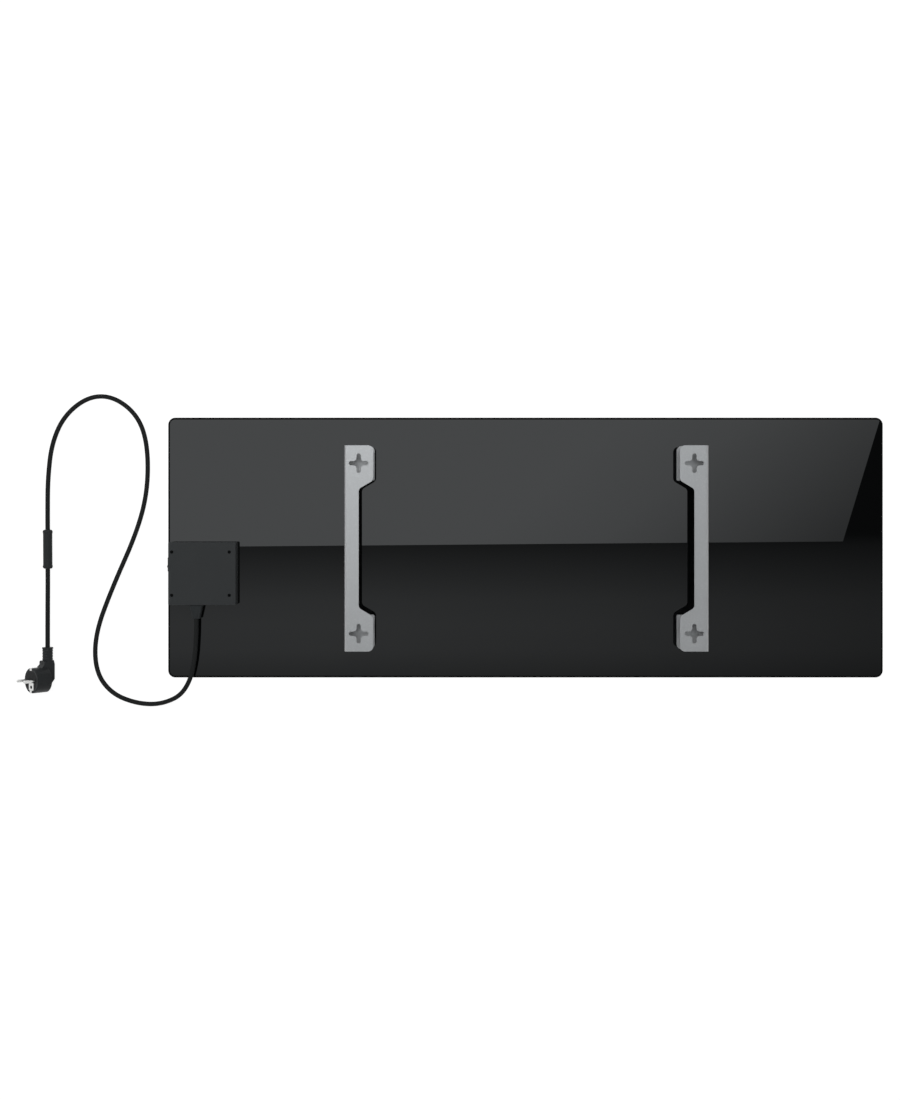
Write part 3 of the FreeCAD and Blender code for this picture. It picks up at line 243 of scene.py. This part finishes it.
# Board: glass fibre under green solder mask, half glossy with the weave showing through
boardSkin = {"name": "solderMaskedBoard", "tone": "#1d5a36", "paleTone": "#2a6f45", "cloudMm": 3,
             "grainMm": 0.9, "roughness": 0.35, "relief": 0.08}
# Relay: moulded polyester case, an even satin blue
relaySkin = {"name": "relayCasePolyester", "tone": "#23466e", "paleTone": "#2a5180", "cloudMm": 12,
             "grainMm": 0.8, "roughness": 0.45, "relief": 0.06}
# Power supply: potted epoxy, black and smooth
supplySkin = {"name": "pottedEpoxy", "tone": "#202021", "paleTone": "#2b2b2c", "cloudMm": 10,
              "grainMm": 0.8, "roughness": 0.4, "relief": 0.06}
# Board connectors: moulded green nylon, satin
connectorSkin = {"name": "greenNylonConnector", "tone": "#3c7a4b", "paleTone": "#488a58", "cloudMm": 6,
                 "grainMm": 0.7, "roughness": 0.5, "relief": 0.08}
# Cord clamp and terminal block: undyed moulded nylon, creamy and a little waxy
clampSkin = {"name": "naturalNylon", "tone": "#dcd8cb", "paleTone": "#e6e2d6", "cloudMm": 10,
             "grainMm": 0.8, "roughness": 0.48, "relief": 0.06}
# Line and neutral cores: extruded PVC, smooth brown and blue
lineSkin = {"name": "brownWirePvc", "tone": "#5a3520", "paleTone": "#66402a", "cloudMm": 8,
            "grainMm": 0.8, "roughness": 0.42, "relief": 0.04}
neutralSkin = {"name": "blueWirePvc", "tone": "#2a5da0", "paleTone": "#356aae", "cloudMm": 8,
               "grainMm": 0.8, "roughness": 0.42, "relief": 0.04}
# Film leads: extruded silicone that stands the heat, a soft dull red
leadSkin = {"name": "redSiliconeWire", "tone": "#9a2f25", "paleTone": "#a83b30", "cloudMm": 8,
            "grainMm": 0.8, "roughness": 0.5, "relief": 0.05}

overmould = mouldedSkin(overmouldSkin)
plugMould = mouldedSkin(plugSkin)
sheath = mouldedSkin(sheathSkin)
dress(mouldedSkin(boxSkin), "box_base", "box_lid")
dress(overmould, "strain_relief", "choke_sleeve")
dress(plugMould, "plug_body")
dress(mouldedSkin(insertSkinPaintedShade), "plug_insert")
dress(sheath, "mains_cord", "cord_tail")
dress(mouldedSkin(switchSkin), "switch_housing", "switch_rocker")
dress(mouldedSkin(sealSkin), "edge_seal", "lid_gasket", "bracket_bond_pads", "box_bond_pad")
dress(mouldedSkin(bondSkin), "front_bond_sheet", "rear_bond_sheet")
dress(mouldedSkin(filmSkin), "heating_film")
dress(mouldedSkin(boardSkin), "control_board")
dress(mouldedSkin(relaySkin), "relay")
dress(mouldedSkin(supplySkin), "power_supply")
dress(mouldedSkin(connectorSkin), "board_connectors")
dress(mouldedSkin(clampSkin), "cord_clamp", "terminal_block")
dress(mouldedSkin(lineSkin), "line_wire", "switch_wires")
dress(mouldedSkin(neutralSkin), "neutral_wire", "neutral_feed")
dress(mouldedSkin(leadSkin), "film_leads")

# Earth core: extruded PVC, green with a yellow stripe wound round it
earthWire = {"green": "#3f8a3a", "yellow": "#d8c531", "stripeMm": 2.2, "waver": 0.4, "roughness": 0.42}


def stripedWire(wire):
    material, tree, shader = startMaterial("greenYellowWirePvc")
    coords = addNode(tree, "ShaderNodeTexCoord")
    stripe = addNode(tree, "ShaderNodeTexWave",
                     {"wave_type": "BANDS", "bands_direction": "X", "Distortion": wire["waver"],
                      "Scale": perMetre(wire["stripeMm"]) / math.tau},
                     {"Vector": coords.outputs["Object"]})
    tone = addNode(tree, "ShaderNodeMix",
                   {"data_type": "RGBA", 6: linearColour(wire["green"]),
                    7: linearColour(wire["yellow"])}, {0: stripe.outputs["Fac"]})
    shader.inputs["Roughness"].default_value = wire["roughness"]
    tree.links.new(tone.outputs[2], shader.inputs["Base Color"])
    return material


dress(stripedWire(earthWire), "earth_wire")

# Bare metals share one build: fine lines from drawing or turning and a little tarnish; the lines are
# finer than a pixel, so they are drawn coarser here to show
metalBuild = {"lineDetail": 2, "lineDepthMm": 0.2, "tarnishDetail": 4}


def workedMetal(metal):
    material, tree, shader = startMaterial(metal["name"])
    coords = addNode(tree, "ShaderNodeTexCoord")
    drawn = addNode(tree, "ShaderNodeMapping", {"Scale": metal["lineStretch"]},
                    {"Vector": coords.outputs["Object"]})
    lines = addNode(tree, "ShaderNodeTexNoise",
                    {"Scale": perMetre(metal["lineMm"]), "Detail": metalBuild["lineDetail"]},
                    {"Vector": drawn.outputs["Vector"]})
    tarnish = addNode(tree, "ShaderNodeTexNoise",
                      {"Scale": perMetre(metal["tarnishMm"]), "Detail": metalBuild["tarnishDetail"]},
                      {"Vector": coords.outputs["Object"]})
    tone = addNode(tree, "ShaderNodeMix",
                   {"data_type": "RGBA", 6: linearColour(metal["tone"]),
                    7: linearColour(metal["tarnishTone"])}, {0: tarnish.outputs["Fac"]})
    rough = addNode(tree, "ShaderNodeMapRange",
                    {"To Min": metal["roughLow"], "To Max": metal["roughHigh"]},
                    {"Value": lines.outputs["Fac"]})
    bump = addNode(tree, "ShaderNodeBump",
                   {"Strength": metal["relief"], "Distance": metres(metalBuild["lineDepthMm"])},
                   {"Height": lines.outputs["Fac"]})
    shader.inputs["Metallic"].default_value = 1
    tree.links.new(tone.outputs[2], shader.inputs["Base Color"])
    tree.links.new(rough.outputs["Result"], shader.inputs["Roughness"])
    tree.links.new(bump.outputs["Normal"], shader.inputs["Normal"])
    return material


# Pins, clips and plate: nickel-plated brass, bright with a faint satin grain
pinMetal = {"name": "nickelPlatedBrass", "tone": "#dcdcdb", "tarnishTone": "#c4c4c2",
            "lineMm": 0.7, "lineStretch": (1, 1, 1), "tarnishMm": 8,
            "roughLow": 0.2, "roughHigh": 0.34, "relief": 0.05}
# Screws: steel with a black oxide finish, dark with a faint sheen, darker still as painted recess shade
screwMetalRecessShade = {"name": "blackOxideSteelRecessShade", "tone": "#0d0e0e", "tarnishTone": "#090a0a",
              "lineMm": 0.8, "lineStretch": (1, 1, 1), "tarnishMm": 3,
              "roughLow": 0.35, "roughHigh": 0.5, "relief": 0.08}
# Busbars: rolled copper, warm with lines along the strip
busMetal = {"name": "rolledCopper", "tone": "#c77f58", "tarnishTone": "#a9653f",
            "lineMm": 1.0, "lineStretch": (0.05, 1, 1), "tarnishMm": 15,
            "roughLow": 0.25, "roughHigh": 0.4, "relief": 0.05}
# Blades: tinned brass, a pale straw colour
bladeMetal = {"name": "tinnedBrass", "tone": "#cfc49a", "tarnishTone": "#b9ac80",
              "lineMm": 0.8, "lineStretch": (1, 0.1, 1), "tarnishMm": 5,
              "roughLow": 0.25, "roughHigh": 0.4, "relief": 0.05}
# Cutout can: deep-drawn aluminium, silvery with lines up its wall
canMetal = {"name": "deepDrawnAluminium", "tone": "#c6c7c8", "tarnishTone": "#b2b3b5",
            "lineMm": 0.8, "lineStretch": (1, 1, 0.1), "tarnishMm": 6,
            "roughLow": 0.28, "roughHigh": 0.42, "relief": 0.06}
# Choke core: sintered ferrite, dark grey with a dull metallic sheen
ferriteMetal = {"name": "sinteredFerrite", "tone": "#3a3b3d", "tarnishTone": "#2c2d2f",
                "lineMm": 1.0, "lineStretch": (1, 1, 1), "tarnishMm": 4,
                "roughLow": 0.4, "roughHigh": 0.55, "relief": 0.1}

nickel = workedMetal(pinMetal)
dress(nickel, "plug_pins", "earth_plate", "earth_clips")
dress(workedMetal(screwMetalRecessShade), "lid_screws", "board_screws", "clamp_screws")
dress(workedMetal(busMetal), "busbars")
dress(workedMetal(bladeMetal), "cutout_blades", "switch_blades")
dress(workedMetal(canMetal), "thermal_cutout")
dress(workedMetal(ferriteMetal), "choke_core")
print("all nodes dressed")


def inMetres(profile):
    return [(metres(radius), metres(reach)) for radius, reach in profile]


# A turned piece: a profile of (radius, reach) in metres, spun about a line; a closed profile makes a ring
def turned(profile, place, along, sides, closed):
    spin = Vector(along).to_track_quat("Z", "Y").to_matrix().to_4x4()
    spin.translation = Vector(place)
    verts, faces = [], []
    for turn in range(sides):
        angle = math.tau * turn / sides
        for radius, reach in profile:
            verts.append(spin @ Vector((radius * math.cos(angle), radius * math.sin(angle), reach)))
    count = len(profile)
    for turn in range(sides):
        here, there = turn * count, (turn + 1) % sides * count
        for i in range(count if closed else count - 1):
            j = (i + 1) % count
            faces.append((here + i, there + i, there + j, here + j))
    return verts, faces


# Points nearer than the weld are joined, and edges that turn more than the crease stay sharp
meshFinish = {"weldMm": 0.001, "crease": 40}


def newPiece(name, parts, material, body):
    mesh = bpy.data.meshes.new(name)
    shape = bmesh.new()
    for verts, faces in parts:
        made = [shape.verts.new(spot) for spot in verts]
        for face in faces:
            shape.faces.new([made[i] for i in face])
    bmesh.ops.remove_doubles(shape, verts=shape.verts, dist=metres(meshFinish["weldMm"]))
    bmesh.ops.recalc_face_normals(shape, faces=shape.faces)
    shape.to_mesh(mesh)
    shape.free()
    mesh.shade_smooth()
    mesh.set_sharp_from_angle(angle=math.radians(meshFinish["crease"]))
    mesh.materials.append(material)
    item = bpy.data.objects.new(name, mesh)
    scene.collection.objects.link(item)
    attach(item, body)
    return item


# Choke sleeve: a moulded barrel that swells a little at both ends and rounds down onto the cord
chokeSleeve = {
    "middle": (-0.73572, -0.00248, 0.0075), "along": (0.0005, -0.108, 0),
    "halfLength": 30, "radius": 6.95, "rimRadius": 7.5, "rimReach": 3.2, "rimSteps": 6,
    "swell": 3.5, "swellSteps": 5, "bore": 3.55, "lip": 1.0, "sides": 48,
}


def sleeveProfile(sleeve):
    end, rim, waist = sleeve["halfLength"], sleeve["rimRadius"], sleeve["radius"]
    rimReach, rimSteps, swellSteps = sleeve["rimReach"], sleeve["rimSteps"], sleeve["swellSteps"]
    lip = sleeve["bore"] + sleeve["lip"]
    side = [(sleeve["bore"], end - sleeve["lip"])]
    for step in range(rimSteps + 1):
        angle = math.pi / 2 * step / rimSteps
        side.append((lip + (rim - lip) * math.sin(angle), end - rimReach * (1 - math.cos(angle))))
    for step in range(1, swellSteps + 1):
        bulge = (1 + math.cos(math.pi * step / swellSteps)) / 2
        side.append((waist + (rim - waist) * bulge, end - rimReach - sleeve["swell"] * step / swellSteps))
    return inMetres(side + [(radius, -reach) for radius, reach in reversed(side)])


barrel = turned(sleeveProfile(chokeSleeve), chokeSleeve["middle"], chokeSleeve["along"],
                chokeSleeve["sides"], True)
sleeve = newPiece("chokeSleeve", [barrel], overmould, "heater")
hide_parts("choke_sleeve")

# Plug pins: turned rods with domed tips, side by side on the tilted face; their ends are fine enough
# for the weld to close
plugPins = {"face": (-0.754555, -0.2022, 0.031194), "tilt": 46.4851, "radius": 2.4, "length": 19,
            "root": 7, "halfPitch": 9.5, "dome": 2.2, "domeSteps": 9, "endRadius": 0.0001, "sides": 32}


def pinProfile(pin):
    rod = [(pin["endRadius"], -pin["root"]), (pin["radius"], -pin["root"])]
    for step in range(pin["domeSteps"]):
        angle = math.pi / 2 * step / pin["domeSteps"]
        rod.append((pin["radius"] * math.cos(angle), pin["length"] - pin["dome"] * (1 - math.sin(angle))))
    return inMetres([*rod, (pin["endRadius"], pin["length"])])


def pinPair(pin):
    tilt = math.radians(pin["tilt"])
    pinWay = Vector((-math.cos(tilt), 0, math.sin(tilt)))
    acrossFace = Vector((math.sin(tilt), 0, math.cos(tilt))) * metres(pin["halfPitch"])
    return [turned(pinProfile(pin), Vector(pin["face"]) + acrossFace * side, pinWay, pin["sides"], False)
            for side in (-1, 1)]


pins = newPiece("plugPins", pinPair(plugPins), nickel, "heater")
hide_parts("plug_pins")

# Plug neck: soft rings moulded round the cord's entry, so that it bends and doesn't crease
neckRings = {"place": (-0.735, -0.1735, 0.0106), "along": (0, 1, 0), "length": 17.5, "root": 7.5,
             "clear": 0.02, "rise": 0.45, "sunk": 0.6, "rings": 4, "steps": 8, "sides": 40}


def ringProfile(neck):
    count = neck["rings"] * neck["steps"]
    inner, valley = neck["root"] - neck["sunk"], neck["root"] + neck["clear"]
    waves = [(valley + neck["rise"] * math.sin(math.pi * i / neck["steps"]) ** 2,
              neck["length"] * i / count) for i in range(count + 1)]
    return inMetres([(inner, 0), *waves, (inner, neck["length"])])


collar = turned(ringProfile(neckRings), neckRings["place"], neckRings["along"], neckRings["sides"], True)
rings = newPiece("plugNeckRings", [collar], plugMould, "heater")

# Marks on the rocker: a bar for on and a ring for off, sunk into its dished face and a little proud of it
rockerMarks = {
    "pivot": (-0.5407, -0.025, 0.0225), "rest": -9, "dishMiddle": -31.4, "dishRadius": 25,
    "offset": 2.9, "barLength": 2.4, "barWidth": 0.6, "ringOuter": 1.25, "ringInner": 0.75,
    "sunk": -0.2, "proud": 0.06, "sides": 32,
}
# Pad print: white ink stamped on, matt with soft edges
printSkin = {"name": "whitePadPrint", "tone": "#d8d8d4", "paleTone": "#e2e2de", "cloudMm": 4,
             "grainMm": 0.6, "roughness": 0.5, "relief": 0.03}


def onDish(marks, y, z, lift):
    x = marks["dishMiddle"] + math.sqrt(marks["dishRadius"] ** 2 - y ** 2) - lift
    spot = Matrix.Rotation(math.radians(marks["rest"]), 4, "Z") @ Vector((x, y, z))
    return Vector(marks["pivot"]) + metres(spot)


def barMark(marks):
    length, width = marks["barLength"] / 2, marks["barWidth"] / 2
    corners = [(-length, -width), (length, -width), (length, width), (-length, width)]
    verts = [onDish(marks, marks["offset"] + y, z, lift)
             for lift in (marks["sunk"], marks["proud"]) for y, z in corners]
    return verts, [(4, 5, 6, 7), (3, 2, 1, 0), (0, 1, 5, 4), (1, 2, 6, 5), (2, 3, 7, 6), (3, 0, 4, 7)]


def ringMark(marks):
    inner, outer, sunk, proud = (marks[name] for name in ("ringInner", "ringOuter", "sunk", "proud"))
    section = [(inner, sunk), (inner, proud), (outer, proud), (outer, sunk)]
    count = len(section)
    verts, faces = [], []
    for turn in range(marks["sides"]):
        angle = math.tau * turn / marks["sides"]
        verts += [onDish(marks, radius * math.cos(angle) - marks["offset"], radius * math.sin(angle), lift)
                  for radius, lift in section]
        here, there = count * turn, count * ((turn + 1) % marks["sides"])
        for i in range(count):
            j = (i + 1) % count
            faces.append((here + i, there + i, there + j, here + j))
    return verts, faces


marksMade = [barMark(rockerMarks), ringMark(rockerMarks)]
newPiece("rockerMarks", marksMade, mouldedSkin(printSkin), "rocker")
print("sleeve, pins, neck rings and rocker marks made")

# Mains cord: out of the strain relief, over the lower edge, round a loop beside the panel and back to
# the plug
mainsCord = {
    "diameter": 0.007, "length": 1.181, "body": "heater", "alongSteps": 12, "roundSteps": 5,
    "route": [(-0.504, -0.108, 0.0225), (-0.504, -0.167, 0.0225), (-0.52, -0.221, 0.0215),
              (-0.558, -0.241, 0.01), (-0.599, -0.241, 0.0036), (-0.639, -0.225, 0.0036),
              (-0.663, -0.191, 0.0036), (-0.664, -0.135, 0.0036), (-0.6385, -0.065, 0.0036),
              (-0.599, 0.024, 0.0036), (-0.5825, 0.088, 0.0036), (-0.5825, 0.159, 0.0036),
              (-0.598, 0.204, 0.0036), (-0.635, 0.233, 0.0036), (-0.674, 0.233, 0.0036),
              (-0.711, 0.204, 0.0036), (-0.7305, 0.161, 0.0036), (-0.7365, 0.108, 0.0036),
              (-0.736, 0.058, 0.0075), (-0.7355, -0.05, 0.0075), (-0.735, -0.105, 0.0106),
              (-0.735, -0.1533, 0.0106)],
    "carries": ("choke_core", "plug_body", "plug_insert", "earth_plate", "earth_clips"),
}
curve = bpy.data.curves.new("mainsCord", "CURVE")
curve.dimensions = "3D"
curve.resolution_u = mainsCord["alongSteps"]
curve.bevel_depth = mainsCord["diameter"] / 2
curve.bevel_resolution = mainsCord["roundSteps"]
curve.use_fill_caps = True
line = curve.splines.new("NURBS")
line.points.add(len(mainsCord["route"]) - 1)
for knot, spot in zip(line.points, mainsCord["route"]):
    knot.co = (*spot, 1)
line.order_u = 3
line.use_endpoint_u = True
cord = bpy.data.objects.new("mainsCord", curve)
scene.collection.objects.link(cord)
curve.materials.append(sheath)
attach(cord, mainsCord["body"])
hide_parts("mains_cord")
print("cord laid")

# Floor: white paper, with a light of its own for the eye so that it stays white under the soft shadow
floorLook = {"size": 14, "tone": "#9c9c9c", "ownLight": 0.92, "level": -0.0003}
# Room: white for the eye and for reflections, a gentle fill for the surfaces
roomLight = {"tone": "#ffffff", "fill": 0.2, "seen": 1.0}
# Two cards hang over the panel: a pale one that the upper half of the glass mirrors, a dim one for the
# rest. Each glow is a way across the card and how bright the card is along it, and a card's glows multiply.
paleCard = {
    "height": 3.0, "tint": "#f6fafc",
    "outline": [(-2.2, -0.104), (1.228, -0.0755), (1.357, 0.349), (1.741, 1.6), (-2.2, 1.6)],
    "glows": [{"way": (1, -1.2, 0), "falls": [(-4.2, 1.47), (0.05, 1.47), (0.47, 1.3), (0.82, 0.98),
                                              (1.28, 0.55), (2.0, 0.5)]}],
}
dimCard = {
    "height": 3.04, "tint": "#f6fafc",
    "outline": [(-2.4, -1.6), (2.4, -1.6), (2.4, 1.7), (-2.4, 1.7)],
    "glows": [{"way": (0, 1, 0), "falls": [(-1.6, 0.3), (-0.56, 0.42), (-0.46, 0.61), (-0.37, 0.64),
                                           (-0.28, 0.58), (-0.09, 0.2), (-0.05, 0.06), (1.7, 0.06)]},
              {"way": (1, 0, 0), "falls": [(-2.4, 1.0), (-0.6, 1.0), (0.4, 0.8), (1.34, 0.5),
                                           (2.4, 0.45)]}],
}
# Key lamp: a wide softbox behind a grid, high over the panel's upper left
keyLamp = {"place": (-0.85, 1.1, 2.85), "aim": (-0.6, 0.3, 0), "size": (1.8, 1.0), "spread": 72,
           "watts": 2.3}


# 1 for what the eye, a reflection or a clear pane sees, 0 for light that falls on surfaces
def seenFlag(tree):
    path = addNode(tree, "ShaderNodeLightPath")
    eyeOrShine = addNode(tree, "ShaderNodeMath", {"operation": "MAXIMUM"},
                         {0: path.outputs["Is Camera Ray"], 1: path.outputs["Is Glossy Ray"]})
    flag = addNode(tree, "ShaderNodeMath", {"operation": "MAXIMUM"},
                   {0: eyeOrShine.outputs["Value"], 1: path.outputs["Is Transmission Ray"]})
    return flag.outputs["Value"]


def flatMesh(name, corners, height):
    mesh = bpy.data.meshes.new(name)
    mesh.from_pydata([(x, y, height) for x, y in corners], [], [list(range(len(corners)))])
    item = bpy.data.objects.new(name, mesh)
    scene.collection.objects.link(item)
    return item


half = floorLook["size"] / 2
floorCorners = [(-half, -half), (half, -half), (half, half), (-half, half)]
floor = flatMesh("floor", floorCorners, floorLook["level"])
floorPaper, tree, shader = startMaterial("whitePaperSweep")
tree.nodes.remove(shader)
matt = addNode(tree, "ShaderNodeBsdfDiffuse", {"Color": linearColour(floorLook["tone"])})
strength = addNode(tree, "ShaderNodeMath", {"operation": "MULTIPLY", 1: floorLook["ownLight"]},
                   {0: seenFlag(tree)})
own = addNode(tree, "ShaderNodeEmission", None, {"Strength": strength.outputs["Value"]})
both = addNode(tree, "ShaderNodeAddShader", None,
               {0: matt.outputs["BSDF"], 1: own.outputs["Emission"]})
tree.links.new(both.outputs["Shader"], tree.nodes["Material Output"].inputs["Surface"])
floor.data.materials.append(floorPaper)


def litCard(name, card):
    item = flatMesh(name, card["outline"], card["height"])
    material, tree, shader = startMaterial(name + "Cloth")
    tree.nodes.remove(shader)
    coords = addNode(tree, "ShaderNodeTexCoord")
    level = None
    for glow in card["glows"]:
        falls = glow["falls"]
        low, high, most = falls[0][0], falls[-1][0], max(value for spot, value in falls)
        reach = addNode(tree, "ShaderNodeVectorMath", {"operation": "DOT_PRODUCT", 1: glow["way"]},
                        {0: coords.outputs["Object"]})
        where = addNode(tree, "ShaderNodeMapRange", {"From Min": low, "From Max": high},
                        {"Value": reach.outputs["Value"]})
        ramp = addNode(tree, "ShaderNodeFloatCurve", None, {"Value": where.outputs["Result"]})
        points = ramp.mapping.curves[0].points
        for spot, value in falls[1:-1]:
            points.new((spot - low) / (high - low), value / most)
        points[0].location = (0, falls[0][1] / most)
        points[-1].location = (1, falls[-1][1] / most)
        for point in points:
            point.handle_type = "VECTOR"
        ramp.mapping.update()
        part = addNode(tree, "ShaderNodeMath", {"operation": "MULTIPLY", 1: most},
                       {0: ramp.outputs["Value"]})
        if level:
            part = addNode(tree, "ShaderNodeMath", {"operation": "MULTIPLY"},
                           {0: level.outputs["Value"], 1: part.outputs["Value"]})
        level = part
    light = addNode(tree, "ShaderNodeEmission", {"Color": linearColour(card["tint"])},
                    {"Strength": level.outputs["Value"]})
    tree.links.new(light.outputs["Emission"], tree.nodes["Material Output"].inputs["Surface"])
    item.data.materials.append(material)


litCard("paleCard", paleCard)
litCard("dimCard", dimCard)

world = bpy.data.worlds.new("paleRoom")
world.use_nodes = True
scene.world = world
tree = world.node_tree
roomLevel = addNode(tree, "ShaderNodeMapRange",
                    {"To Min": roomLight["fill"], "To Max": roomLight["seen"]},
                    {"Value": seenFlag(tree)})
background = tree.nodes["Background"]
background.inputs["Color"].default_value = linearColour(roomLight["tone"])
tree.links.new(roomLevel.outputs["Result"], background.inputs["Strength"])

lamp = bpy.data.lights.new("keyLamp", "AREA")
lamp.shape = "RECTANGLE"
lamp.size, lamp.size_y = keyLamp["size"]
lamp.spread = math.radians(keyLamp["spread"])
lamp.energy = keyLamp["watts"]
lampItem = bpy.data.objects.new("keyLamp", lamp)
lampItem.location = keyLamp["place"]
lampWay = Vector(keyLamp["aim"]) - Vector(keyLamp["place"])
lampItem.rotation_euler = lampWay.to_track_quat("-Z", "Y").to_euler()
scene.collection.objects.link(lampItem)
print("floor, cards and lamp set")

# Camera straight above, its axis a little up and right of the picture's middle
eye = {"place": (-0.0931, 0.0763, 2.358), "lens": 49.95, "sensor": 36, "shift": (-0.01364, -0.04727)}
camera = bpy.data.cameras.new("eye")
camera.lens = eye["lens"]
camera.sensor_width = eye["sensor"]
camera.shift_x, camera.shift_y = eye["shift"]
cameraItem = bpy.data.objects.new("eye", camera)
cameraItem.location = eye["place"]
scene.collection.objects.link(cameraItem)
scene.camera = cameraItem
scene.view_settings.view_transform = "Standard"
